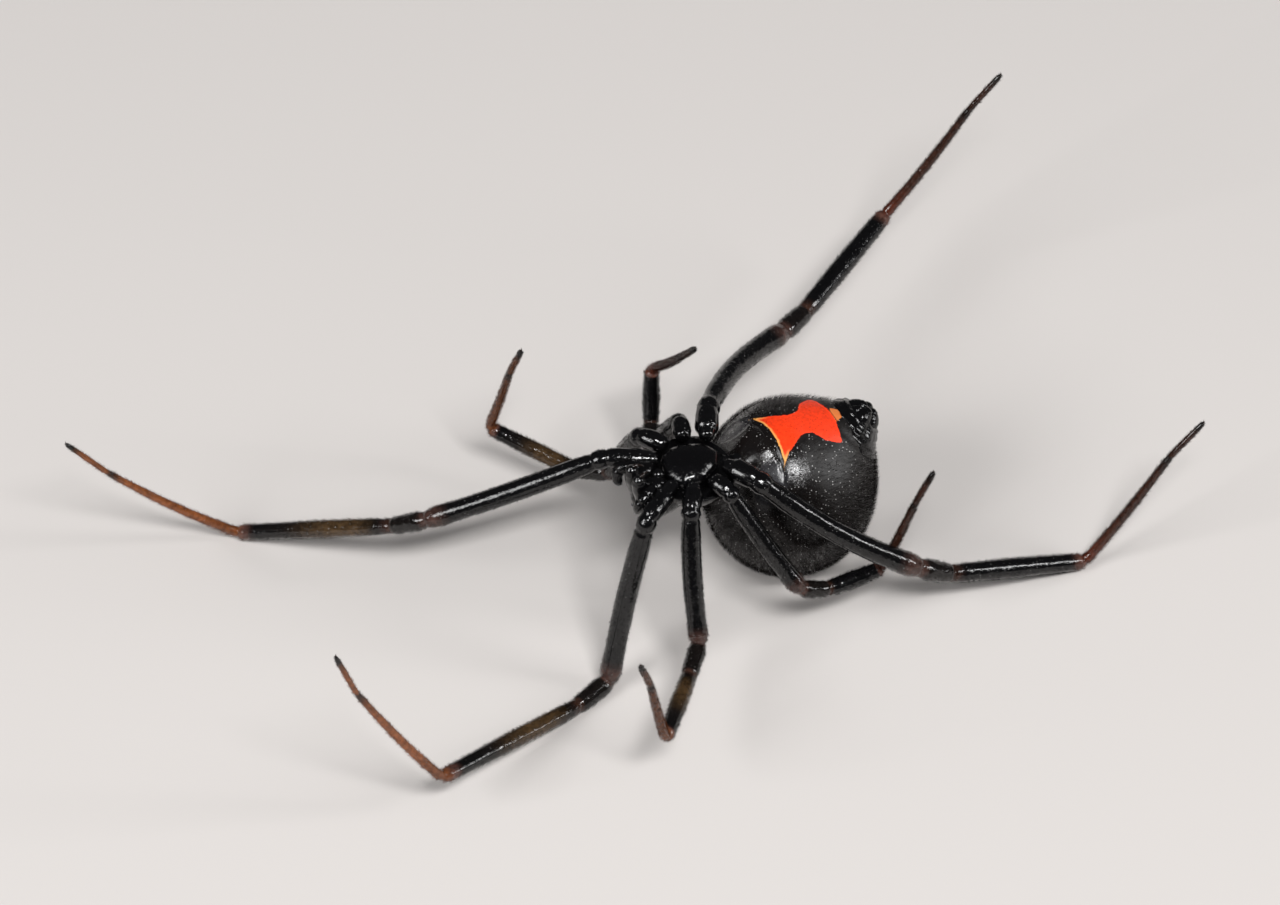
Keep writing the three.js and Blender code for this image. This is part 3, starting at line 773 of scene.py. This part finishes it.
# %% The finish of the abdomen
def abdomen_colour(tree, space):
    """Brown black skin with the red mark and painted glint specks, used by the skin and by its coat."""
    skin = mixed(tree, noise_value(tree, space, 1.6, 4), darker(black, 1.1), darker(warm_black, 1.7))
    ragged = ranged(tree, noise_value(tree, space, 6, 3), -0.022, 0.022)
    depth = math_value(tree, "ADD", attribute(tree, "mark"), ragged)
    inside = ranged(tree, depth, 0, 1, -0.012, 0.022)
    deep = ranged(tree, depth, 0, 1, 0.035, 0.11)
    clouds = ranged(tree, noise_value(tree, space, 8, 5), 0, 1)
    cloudy_red = mixed(tree, clouds, darker(mark_red, 0.75), mark_red)
    mottled = mixed(tree, specks(tree, space, 10, 0.3, 0.45), cloudy_red, darker(mark_red, 0.55))
    front = ranged(tree, attribute(tree, "ahead"), 1, 0, 0.45, 0.75)
    rim = mixed(tree, front, mark_orange, mark_red)
    red = mixed(tree, deep, rim, mottled)
    spot = ranged(tree, attribute(tree, "ahead"), 1, 0, -1.75, -1.71)
    two_tone = mixed(tree, spot, red, spot_orange)
    swirls = ranged(tree, noise_value(tree, space, 9, 4, 1.5), 0, 1)
    # The plates' grey and its swirled streaks are partly their own paler tone and partly painted sheen.
    plate_sheen_streaks = mixed(tree, swirls, darker(plate_grey_and_sheen, 0.35), plate_grey_and_sheen)
    plated = mixed(tree, attribute(tree, "plate"), skin, plate_sheen_streaks)
    # Pale specks painted as the glints of hair sockets: painted highlights.
    with_painted_glints = mixed(tree, specks(tree, space, 8, 0.2, 0.5), plated, belly_painted_glint)
    return mixed(tree, inside, with_painted_glints, two_tone)


def abdomen_finish():
    material, tree, shader, space = new_finish("abdomen_skin", 0.3)
    wire(tree, abdomen_colour(tree, space), shader.inputs["Base Color"])
    front = ranged(tree, attribute(tree, "ahead"), 0, 1, -0.25, 0.35)
    roughness = ranged(tree, noise_value(tree, space, 6, 4), 0.36, 0.5)
    for where, smoothness in (
        (front, 0.17),
        (attribute(tree, "bare"), 0.1),
        (attribute(tree, "plate"), 0.2),
    ):
        roughness = mixed(tree, where, roughness, (smoothness,) * 3)
    wire(tree, roughness, shader.inputs["Roughness"])
    swells = noise_value(tree, space, 1.4, 2)
    wrinkles = noise_value(tree, space, 22, 4, 0.4)
    off_mark = ranged(tree, attribute(tree, "mark"), 1, 0.3, -0.05, 0.02)
    sockets = math_value(tree, "MULTIPLY", facets(tree, space, 9, 0.32, 0.5), off_mark)
    bumped(tree, shader, ((swells, 0.04), (wrinkles, 0.008), (sockets, 0.9)))
    return material


abdomen_skin = finish_piece("abdomen_skin", bm, abdomen_finish(), ["abdomen"])

# %% [markdown]
# ## The spinnerets
# The silk organs stand on a short ridged cone at the rear of the belly: two pairs of stout
# spinnerets round a small inner pair, and a little tubercle beside them. They could be spun from a
# profile, but each is a tapered tube, so the limb tool builds them too, and the cone's ridges are
# waves added to its radius.

# %% Build the spinnerets
def tail_point(beyond):
    return abdomen_middle + tail_way * (tail_length + beyond)


def short_tube(bm, start, end, halves, sides, rings):
    """A straight tapered tube with a rounded end, with half thicknesses by share."""
    shares = [step / (rings - 1) for step in range(rings)]
    points = [start.lerp(end, share) for share in shares]
    side_way = Vector((0, 1, 0)) if abs((end - start).normalized().y) < 0.9 else Vector((1, 0, 0))
    add_tube(bm, ring_places(points, side_way), [smooth_between(halves, s) for s in shares], shares, sides)


bm = bmesh.new()
cone_halves = ((0, 1.5), (0.25, 1.28), (0.5, 1.08), (0.8, 0.88), (1, 0.5))
short_tube(bm, tail_point(-0.6), tail_point(0.36), cone_halves, sides=96, rings=80)
tail_across = Vector((0, 1, 0))
tail_upright = tail_way.cross(tail_across).normalized()
ridges_begin = 3.3
for vert in bm.verts:
    out = vert.co - abdomen_middle
    along = out.dot(tail_way)
    turn = math.atan2(out.dot(tail_upright), out.dot(tail_across))
    ridge = 0.022 * math.cos(9 * turn) + 0.01 * math.cos(14 * turn + 1)
    ridge *= min(max((along - ridges_begin) / 0.3, 0), 1)
    vert.co += (out - tail_way * along) * ridge
lobe_shape = ((0, 1.05), (0.35, 1), (0.55, 0.88), (0.66, 0.78), (0.7, 0.72), (0.88, 0.5), (1, 0.2))
# Groups of (turns of the lobes, ring at the foot and at the tip, half thickness, length)
spinneret_groups = (
    ((42, 138), 0.42, 0.15, 0.4, 0.7),
    ((222, 318), 0.4, 0.15, 0.38, 0.66),
    ((0, 180), 0.18, 0.1, 0.14, 0.6),
    ((270,), 0.5, 0.36, 0.26, 0.5),
)
for lobe_turns, foot_ring, tip_ring, lobe_half, reach in spinneret_groups:
    for turn in lobe_turns:
        angle = math.radians(turn)
        aim = tail_across * math.cos(angle) + tail_upright * math.sin(angle)
        lobe_halves = [(share, lobe_half * size) for share, size in lobe_shape]
        lobe_start = tail_point(0) + aim * foot_ring
        short_tube(bm, lobe_start, tail_point(reach) + aim * tip_ring, lobe_halves, 24, 36)
finish_piece("spinneret_skin", bm, black_cuticle, ["spinnerets"])

# %% [markdown]
# ## The front body
# Head and thorax share one shell. Its back, which faces the floor here, is a rounded shield with a
# raised head, a deep pit where the muscles attach, and grooves that fan out from the pit. Two
# ellipsoids would meet in a crease, so one ball is pushed out to a soft maximum of both, which
# blends them like skin.

# %% The shape of the shell
shield_top = 6.82
shell_middle = body_point(0.5, 0, shield_top - 0.42)
thorax_middle = body_point(-0.1, 0, shield_top)
thorax_half = Vector((1.6, 1.6, 1.25))
head_middle = body_point(1.3, 0, shield_top - 0.62)
head_half = Vector((1.08, 0.86, 0.86))
blend_sharpness = 14
edge_sharpness = 9
pit_depth = 0.2
groove_turns = (38, 75, 108, 140)


def reach_of(way, middle, half):
    """How far a ray from the shell's middle goes before it leaves an ellipsoid."""
    start = Vector((p - m) / h for p, m, h in zip(shell_middle, middle, half))
    step = Vector(w / h for w, h in zip(way, half))
    a = step.length_squared
    b = start.dot(step)
    return (-b + math.sqrt(b * b - a * (start.length_squared - 1))) / a


def shell_point(way):
    """A point of the shell in this direction from its middle."""
    reaches = (reach_of(way, thorax_middle, thorax_half), reach_of(way, head_middle, head_half))
    reach = math.log(sum(math.exp(blend_sharpness * r) for r in reaches)) / blend_sharpness
    if way.z > 0.02:
        out = (shell_middle + way * min(reach, 2.2)).xy - body_point(0.1, 0, 0).xy
        level = shield_top + 0.24 - 0.3 * min(out.length / thorax_half.x, 1.15) ** 3
        under_belly = (level - shell_middle.z) / way.z
        reach = -math.log(math.exp(-edge_sharpness * reach) + math.exp(-edge_sharpness * under_belly))
        reach /= edge_sharpness
    point = shell_middle + way * reach
    back = max(0.0, min(1.0, (shell_middle.z - point.z) / 0.5))
    flat = point.xy - body_point(-0.35, 0, 0).xy
    pit = pit_depth * math.exp(-((flat.x / 0.2) ** 2) - (flat.y / 0.34) ** 2)
    turn = math.degrees(math.atan2(flat.y, flat.x))
    fan = sum(furrow(abs(turn) - groove, 5) for groove in groove_turns)
    fan *= furrow(flat.length - 0.85, 0.45)
    neck = furrow(abs(flat.y) - 0.62 - 0.1 * (flat.x - 0.9), 0.12) * furrow(flat.x - 0.95, 0.5)
    return point - way * back * (pit + 0.05 * fan + 0.09 * neck)


shell_front, shell_rear = (shell_point(Vector((way, 0, 0))).x for way in (1, -1))
print("the shell is", round(shell_front - shell_rear, 2), "mm long")

# %% Build the shell
bm, (lie_layer,) = unwrapped_ball(144, 96)
for vert in bm.verts:
    way = vert.co.normalized()
    vert.co = shell_point(way)
    vert[lie_layer] = (Vector((1, 0, 0)) - way * way.x).normalized()
front_skin = finish_piece("front_body_skin", bm, black_cuticle, ["carapace"])

# %% [markdown]
# ## The sternum, the waist and the lip
# The sternum is a heart-shaped plate between the leg roots, low domed, with a soft rim and shallow
# dents by the coxae. A flat outline could be extruded and bevelled, but a flattened ball keeps the
# dome smooth, so its vertices move to the plate's outline. Behind it a thin waist joins the
# abdomen, and in front of it a small lip closes the mouth.

# %% The sternum
sternum_length = 1.1
sternum_width = 0.95
sternum_height = 0.5
sternum_level = 6.99


def sternum_rim(angle):
    """A point of the plate's outline: blunt in front, wide at the second legs, pointed behind."""
    ahead = math.cos(angle)
    blunt = math.copysign(abs(ahead) ** (0.82 if ahead > 0 else 1.1), ahead)
    dents = 1 - 0.03 * (1 + math.cos(8 * angle + math.pi)) / 2
    width = sternum_width * (1 + 0.2 * ahead) * dents
    return Vector((sternum_length * blunt * dents, width * math.sin(angle)))


bm, (lie_layer,) = unwrapped_ball(96, 48)
for vert in bm.verts:
    angle = math.atan2(vert.co.y, vert.co.x)
    out = math.hypot(vert.co.x, vert.co.y) ** 0.95
    height = sternum_height * vert.co.z if vert.co.z > 0 else 0.6 * vert.co.z
    vert.co = body_point(*sternum_rim(angle) * out, sternum_level + height)
    vert[lie_layer] = (-1, 0, 0)
sternum_skin = finish_piece("sternum_skin", bm, black_cuticle, ["sternum"])

# %% The waist and the lip
bm = bmesh.new()
waist_halves = ((0, 0.3), (0.3, 0.26), (0.5, 0.24), (0.7, 0.27), (1, 0.34))
waist_end = Vector((1.9, 0, shield_top - 0.75))
short_tube(bm, body_point(-1.2, 0, shield_top - 0.38), waist_end, waist_halves, 24, 30)
finish_piece("waist_skin", bm, black_cuticle, ["pedicel"])

bm = bmesh.new()
lip_place = Matrix.Translation(body_point(1.36, 0, hip_height - 0.02))
lip_place @= Matrix.Diagonal((0.25, 0.25, 0.26, 1))
bmesh.ops.create_uvsphere(bm, u_segments=32, v_segments=20, radius=1, matrix=lip_place)
finish_piece("lip_skin", bm, black_cuticle, ["labium"])

# %% [markdown]
# ## Mouthparts and eyes
# In front of the lip the two jaws stand side by side, each with a small folded fang, and a palp
# curls round each jaw like a short leg. They bend more freely than a leg, so each follows a smooth
# curve through a few bends instead of straight parts, and the limb tool gives it its thickness.
# The palp's broad root is the spider's chewing lobe. Eight small eyes sit on the face in two rows:
# they are plain glossy lenses, so a ball is their true shape.

# %% A smooth curve through some bends
def curve_point(bends, place):
    """A point of a smooth curve through the bends, by the number of the bend and a share."""
    last = len(bends) - 1
    i = min(int(place), last - 1)
    share = place - i
    before, start, end, after = (Vector(bends[min(max(k, 0), last)]) for k in (i - 1, i, i + 1, i + 2))
    return (
        start * 2
        + (end - before) * share
        + (before * 2 - start * 5 + end * 4 - after) * share**2
        + (start * 3 - before - end * 3 + after) * share**3
    ) / 2


print("halfway from 0 to 1 is", curve_point([(0, 0, 0), (1, 0, 0)], 0.5).x)

# %% Jaws and fangs
jaw_halves = ((0, 0.24), (0.15, 0.31), (0.5, 0.32), (0.78, 0.28), (0.92, 0.2), (1, 0.06))
fang_bends = (
    (0, 0, -0.06),
    (-0.03, 0, 0),
    (-0.1, -0.02, 0.04),
    (-0.19, -0.05, 0.04),
    (-0.29, -0.09, 0.01),
    (-0.37, -0.12, -0.04),
)
fang_steps = 15
for side, letter in ((-1, "L"), (1, "R")):
    jaw_start = body_point(2.08, 0.3, shield_top - 0.35, side)
    jaw_end = body_point(2.34, 0.27, shield_top + 1.06, side)
    bm = bmesh.new()
    short_tube(bm, jaw_start, jaw_end, jaw_halves, 28, 44)
    finish_piece(f"jaw_skin_{letter}", bm, black_cuticle, [f"chelicera_{letter}"])
    fang_start = jaw_end - Vector((0.12, 0, 0.06))
    bends = [fang_start + Vector((x, y * side, z)) for x, y, z in fang_bends]
    shares = [step / fang_steps for step in range(fang_steps + 1)]
    route = [curve_point(bends, share * (len(bends) - 1)) for share in shares]
    bm = bmesh.new()
    fang_halves = [0.075 * (1 - share) ** 0.8 + 0.01 for share in shares]
    add_tube(bm, ring_places(route, Vector((0, 1, 0))), fang_halves, shares, 14)
    finish_piece(f"fang_skin_{letter}", bm, fang_cuticle, [f"fang_{letter}"])

# %% Palps
palp_bends = (
    (1.5, 0.4, 0),
    (1.8, 0.52, 0.05),
    (2.2, 0.76, 0.14),
    (2.48, 0.86, 0.02),
    (2.6, 0.82, -0.3),
    (2.56, 0.7, -0.62),
)
endite_half = Vector((0.46, 0.27, 0.28))
chewing_lobe = ((0, 0.22), (0.7, 0.26), (1.1, 0.24), (1.25, 0.2))
palp_parts = ((1.4, 0.23), (1.95, 0.24), (2.15, 0.19), (2.35, 0.23), (2.85, 0.23), (3.05, 0.19))
palp_tip = ((3.25, 0.22), (4.4, 0.18), (4.85, 0.11), (5, 0.04))
palp_table = (*chewing_lobe, *palp_parts, *palp_tip)
palp_steps = 90
palp_skins = {}
for side, letter in ((-1, "L"), (1, "R")):
    bends = [body_point(ahead, aside, hip_height + above, side) for ahead, aside, above in palp_bends]
    steps = [5 * step / palp_steps for step in range(palp_steps + 1)]
    places = ring_places([curve_point(bends, step) for step in steps], Vector((0, 0, 1)))
    bm = bmesh.new()
    add_tube(bm, places, [smooth_between(palp_table, step) for step in steps], steps, 20)
    endite_place = Matrix.Translation(body_point(1.7, 0.34, hip_height + 0.02, side))
    endite_place @= Matrix.Rotation(math.radians(-24 * side), 4, "Z") @ Matrix.Diagonal((*endite_half, 1))
    bmesh.ops.create_uvsphere(bm, u_segments=24, v_segments=16, radius=1, matrix=endite_place)
    palp_skins[letter] = finish_piece(
        f"palp_skin_{letter}", bm, black_cuticle, [f"palp_{letter}"]
    )

# %% Eyes
eye_half = {
    "anterior_median": 0.09,
    "anterior_lateral": 0.0765,
    "posterior_median": 0.081,
    "posterior_lateral": 0.0765,
}
for eye, half in eye_half.items():
    for side, letter in ((-1, "L"), (1, "R")):
        node_low, node_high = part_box(f"eye_{letter}_{eye}")
        middle = to_world.inverted() @ ((node_low + node_high) / 2)
        bm = bmesh.new()
        ball = Matrix.Translation(middle) @ Matrix.Scale(half, 4)
        bmesh.ops.create_icosphere(bm, subdivisions=4, radius=1, matrix=ball)
        finish_piece(f"eye_lens_{letter}_{eye}", bm, eye_finish, [f"eye_{letter}_{eye}"])

# %% [markdown]
# ## Claws
# Each foot ends in three tiny claws: a pair of curved ones and a smaller one between them. A claw
# could be a bent cone, but a modifier would bend it about a fixed axis, and every foot points
# another way. So each claw is a short tube along a curve in the foot's own three directions.

# %% Build the claws
claw_length = 0.15
claw_half = 0.028
claw_steps = 6
claw_shares = [step / claw_steps for step in range(claw_steps + 1)]
for name in leg_pose:
    before, tip = leg_joints(name)[-2:]
    along = (tip - before).normalized()
    across = along.cross(Vector((0, 0, 1))).normalized()
    under = across.cross(along)
    bm = bmesh.new()
    for spread, size in ((0.55, 1.0), (-0.55, 1.0), (0, 0.7)):
        bends = []
        for share in claw_shares:
            forward = along * (share - 0.28) + under * 0.5 * share**2 + across * spread * share * 0.6
            bends.append(tip + forward * claw_length * size)
        halves = [claw_half * size * (1 - 0.93 * share) for share in claw_shares]
        add_tube(bm, ring_places(bends, across), halves, claw_shares, 8)
    finish_piece(f"claws_{name}", bm, claw_finish)

# %% [markdown]
# ## The coat
# Short bristles cover the spider, and they make its soft outline against a pale ground. Particle
# hair would be lost when the model is exported, so every hair is real mesh: a bent three-sided
# spike of seven corners. They are built all at once as arrays. Roots are drawn at random on the
# skin's own triangles, with a fixed seed. Blender can list a ball's faces in another order each
# run, so the triangles are sorted first, and every run grows the same coat. Each hair leans from
# the skin's normal towards the lie that the skin stores. For baking, each hair gets a patch 0.003
# across at its root's place on the skin's unwrap. Hairs take the skin's own colours, because they
# store the same values.

# %% Draw roots on a skin
stored_keys = ("way", "mark", "ahead", "plate", "bare")


def skin_triangles(mesh):
    """The vertices and the loops of a skin's triangles, in an order that is the same each run."""
    fans = []
    for polygon in mesh.polygons:
        vertices = list(polygon.vertices)
        start = vertices.index(min(vertices))
        turned = [(start + step) % len(vertices) for step in range(len(vertices))]
        for pair in zip(turned[1:], turned[2:]):
            fans.append([(vertices[i], polygon.loop_start + i) for i in (start, *pair)])
    fans = np.array(fans)
    fans = fans[np.lexsort(fans[:, ::-1, 0].T)]
    return fans[:, :, 0], fans[:, :, 1]


def draw_roots(skin, count, seed, weight=None):
    """Random places on a skin: their points, normals, lies, unwrap places and stored values."""
    mesh = skin.data
    corners, loops = skin_triangles(mesh)

    def of_vertices(source, key, size):
        values = np.empty(len(mesh.vertices) * size, np.float32)
        source.foreach_get(key, values)
        return values.reshape(-1, size).astype(float)

    points = of_vertices(mesh.vertices, "co", 3)
    normals = of_vertices(mesh.vertices, "normal", 3)
    lies = of_vertices(mesh.attributes["lie"].data, "vector", 3)
    uvs = np.empty(len(mesh.loops) * 2, np.float32)
    mesh.uv_layers["unwrap"].data.foreach_get("uv", uvs)
    uvs = uvs.reshape(-1, 2).astype(float)
    stored = {}
    for key in stored_keys:
        if key in mesh.attributes:
            stored[key] = of_vertices(mesh.attributes[key].data, "value", 1)
    a, b, c = (points[corners[:, i]] for i in range(3))
    area = np.linalg.norm(np.cross(b - a, c - a), axis=1)
    if weight:
        middles = {key: values[corners].mean(1)[:, 0] for key, values in stored.items()}
        area = area * weight(points[corners].mean(1), middles)
    random = np.random.default_rng(seed)
    chosen = random.choice(len(corners), count, p=area / area.sum())
    shares = random.dirichlet((1, 1, 1), count)[:, :, None]

    def at_roots(values, index=corners):
        return (values[index[chosen]] * shares).sum(1)

    roots = {key: at_roots(values)[:, 0] for key, values in stored.items()}
    turned = np.array(to_world.to_3x3()) / mm
    return {
        **roots,
        "point": at_roots(points),
        "normal": at_roots(normals),
        "lie": at_roots(lies) @ turned.T,
        "uv": at_roots(uvs, loops),
        "random": random,
    }


def unit(vectors):
    return vectors / np.maximum(np.linalg.norm(vectors, axis=1, keepdims=True), 1e-9)


print("three roots on the sternum:", draw_roots(sternum_skin, 3, 1)["point"].round(4).tolist())

# %% Build a coat
hair_faces = ((2, 1, 0), (0, 1, 4, 3), (1, 2, 5, 4), (2, 0, 3, 5), (3, 4, 6), (4, 5, 6), (5, 3, 6))
corners_each = 7
patch_half = 0.0015
unwrap_margin = 2 * patch_half


def add_coat(name, roots, lengths, half, lean, material):
    """Bent spikes on the roots. lengths are in millimetres and lean is degrees from the normal."""
    count = len(roots["point"])
    random = roots["random"]
    normal = unit(roots["normal"])
    lie = unit(roots["lie"] - normal * (roots["lie"] * normal).sum(1, keepdims=True))
    astray = random.normal(0, 0.16, (count, 3))
    tilt = np.radians(lean + random.normal(0, 7, (count, 1)))
    first = unit(normal * np.cos(tilt) + lie * np.sin(tilt) + astray)
    second = unit(first + lie * 0.55 + astray * 0.3)
    lengths = np.reshape(lengths, (-1, 1)) * mm * random.uniform(0.7, 1.15, (count, 1))
    half *= mm
    across = unit(np.cross(first, lie + astray))
    other = np.cross(first, across)
    corners = np.empty((count, corners_each, 3))
    patches = np.zeros((corners_each, 2))
    for corner in range(3):
        angle = 2 * math.pi * corner / 3
        out = across * math.cos(angle) + other * math.sin(angle)
        corners[:, corner] = roots["point"] - normal * half + out * half
        corners[:, corner + 3] = roots["point"] + first * lengths * 0.5 + out * half * 0.72
        patches[corner] = (patch_half * math.cos(angle), patch_half * math.sin(angle))
        patches[corner + 3] = patches[corner] / 2
    corners[:, 6] = roots["point"] + first * lengths * 0.5 + second * lengths * 0.5
    corners[:, :, 2] = np.maximum(corners[:, :, 2], 0.01 * mm)
    starts = np.arange(count)[:, None] * corners_each
    faces = [face for corner_list in hair_faces for face in (starts + np.array(corner_list)).tolist()]
    mesh = bpy.data.meshes.new(name)
    mesh.from_pydata(corners.reshape(-1, 3).tolist(), [], faces)
    layer = mesh.uv_layers.new(name="OFBake")
    vertex_of = np.empty(len(mesh.loops), np.int32)
    mesh.loops.foreach_get("vertex_index", vertex_of)
    at_root = unwrap_margin + np.clip(roots["uv"], 0, 1) * (1 - 2 * unwrap_margin)
    root_of, corner_of = np.divmod(vertex_of, corners_each)
    layer.data.foreach_set("uv", (at_root[root_of] + patches[corner_of]).ravel())
    for key in stored_keys:
        if key in roots:
            stored = mesh.attributes.new(key, "FLOAT", "POINT")
            stored.data.foreach_set("value", np.repeat(roots[key], corners_each).astype(np.float32))
    mesh.shade_smooth()
    mesh.materials.append(material)
    coat = link_object(name, mesh)
    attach(coat, "root")
    triangles = sum(len(face) - 2 for face in hair_faces)
    print(name, "has", count, "hairs,", count * triangles, "triangles")


# %% Finishes of the coat
hair_lift = (0.001, 0.0008, 0.0006)


def coat_finish(name, colour_of, *values):
    """Hair in the colours of the skin under it, a little lighter and much less glossy."""
    material, tree, shader, space = new_finish(name, 0.65, 0.04)
    lighter = mixed(tree, 1.0, colour_of(tree, space, *values), hair_lift, "ADD")
    wire(tree, lighter, shader.inputs["Base Color"])
    return material


abdomen_coat_finish = coat_finish("abdomen_hair", abdomen_colour)
leg_coat_finishes = {kind: coat_finish(f"{kind}_leg_hair", leg_colour, kind) for kind in leg_colours}
print("coat finishes:", abdomen_coat_finish.name, *(f.name for f in leg_coat_finishes.values()))

# %% The coat of the abdomen
abdomen_hairs = 19500
belly_limit = abdomen_middle.z * mm


def thinned(stored):
    """Few hairs grow on the mark and along its edge, on the dome and on the plates."""
    return np.interp(stored["mark"], (-0.2, -0.08), (1, 0.15)) * (1 - 0.85 * stored["bare"])


def belly_side(points, stored):
    """The half that shows from above, where the middle is thinly haired and the sides are dense."""
    towards_middle = np.interp(points[:, 2] / mm, (4.5, 6), (1, 0.16))
    return (points[:, 2] > belly_limit) * thinned(stored) * towards_middle


def back_side(points, stored):
    """The other half, but no hairs on the flat that the spider lies on."""
    return ((points[:, 2] <= belly_limit) & (points[:, 2] > 0.05 * mm)).astype(float)


for half_name, weight, seed in (("belly", belly_side, 11), ("back", back_side, 12)):
    roots = draw_roots(abdomen_skin, abdomen_hairs, seed, weight)
    lengths = np.interp(roots["mark"], (-0.2, -0.08), (0.25, 0.08))
    add_coat(f"abdomen_coat_{half_name}", roots, lengths, 0.004, 38, abdomen_coat_finish)

# %% The coats of the legs
leg_hairs = 8500
hair_ways = (0, 1.2, 2, 3, 4, 4.3, 5, 6)
hair_lengths = (0.05, 0.09, 0.11, 0.13, 0.14, 0.14, 0.13, 0.09)


def leg_density(_, stored):
    """Coxae are nearly bare, and the far parts are hairier for their size."""
    return np.interp(stored["way"], (0, 0.9, 1.2, 2, 4, 4.2, 6), (0.1, 0.35, 0.8, 0.9, 1, 1.9, 2.4))


for number, (name, skin) in enumerate(leg_skins.items()):
    roots = draw_roots(skin, leg_hairs, 100 + number, leg_density)
    lengths = np.interp(roots["way"], hair_ways, hair_lengths)
    kind = pair_finish[side_and_pair(name)[1]]
    add_coat(f"leg_coat_{name}", roots, lengths, 0.004, 50, leg_coat_finishes[kind])

# %% The coats of the front body
body_hair = coat_finish("body_hair", lambda tree, space: mixed(tree, 0.5, black, warm_black))
front_coats = [(front_skin, 6000, 0.08), (sternum_skin, 700, 0.07)]
front_coats += [(skin, 900, 0.1) for skin in palp_skins.values()]
for number, (skin, count, length) in enumerate(front_coats):
    roots = draw_roots(skin, count, 200 + number)
    name = skin.name.replace("skin", "coat")
    add_coat(name, roots, np.full(count, length), 0.003, 50, body_hair)

# %% [markdown]
# ## Floor, light and camera
# The floor is plain and pale. On such a glossy animal the lamps are seen as much as their light: a
# softbox on each side draws the long streaks on the legs, a low wide lamp in front puts the bright
# patch on the abdomen, and a dim pale room opens up the shadows without greying the black.

# %% Floor
floor_bm = bmesh.new()
bmesh.ops.create_grid(floor_bm, x_segments=1, y_segments=1, size=1.5)
floor_mesh = bpy.data.meshes.new("floor")
floor_bm.to_mesh(floor_mesh)
floor_bm.free()
floor = link_object("floor", floor_mesh)
floor_finish, _, floor_shader, _ = new_finish("floor_paint", 0.65, 0.3)
floor_shader.inputs["Base Color"].default_value = (0.6, 0.57, 0.55, 1)
floor_mesh.materials.append(floor_finish)
print("the floor is", floor.dimensions.x, "m wide")

# %% Lights
def view_way(azimuth, elevation):
    """The direction from the spider to a lamp or a camera, azimuth 0 being the camera's side."""
    turned, raised = math.radians(azimuth), math.radians(elevation)
    level = math.cos(raised)
    return Vector((math.sin(turned) * level, -math.cos(turned) * level, math.sin(raised)))


target = Vector((-5.47, 1.61, 3.45)) * mm
lamp_distance = 0.3


def add_lamp(name, azimuth, elevation, width, height, power):
    """A soft lamp that looks at the spider from this side and height."""
    light = bpy.data.lights.new(name, "AREA")
    light.shape = "RECTANGLE"
    light.size = width
    light.size_y = height
    light.energy = power
    lamp = link_object(name, light)
    back = view_way(azimuth, elevation)
    lamp.location = target + back * lamp_distance
    lamp.rotation_euler = back.to_track_quat("Z", "Y").to_euler()


add_lamp("left_softbox", -58, 36, 0.13, 0.13, 0.58)
add_lamp("right_softbox", 84, 26, 0.05, 0.16, 0.36)
add_lamp("front_lamp", 19, 59, 0.115, 0.035, 0.72)
world = bpy.data.worlds.new("soft_room")
world.use_nodes = True
room = world.node_tree.nodes["Background"]
room.inputs["Color"].default_value = (0.95, 0.96, 1.0, 1)
room.inputs["Strength"].default_value = 0.07
bpy.context.scene.world = world
bpy.context.scene.view_settings.view_transform = "Standard"
print("three lamps and a pale room")

# %% [markdown]
# The camera has the photograph's viewing angle, 50 degrees above the floor. A long lens from a
# quarter of a metre keeps the near and the far legs at nearly one scale, as in a close-up picture.

# %% Camera
camera_data = bpy.data.cameras.new("camera")
camera_data.lens = 200
camera_data.sensor_width = 36
camera_data.clip_start = 0.01
camera_data.clip_end = 10
camera = link_object("camera", camera_data)
camera_back = view_way(0, 50)
camera_distance = 262.6 * mm
camera.location = target + camera_back * camera_distance
camera.rotation_euler = camera_back.to_track_quat("Z", "Y").to_euler()
bpy.context.scene.camera = camera
print("the camera is", round((camera.location - target).length / mm), "mm away")
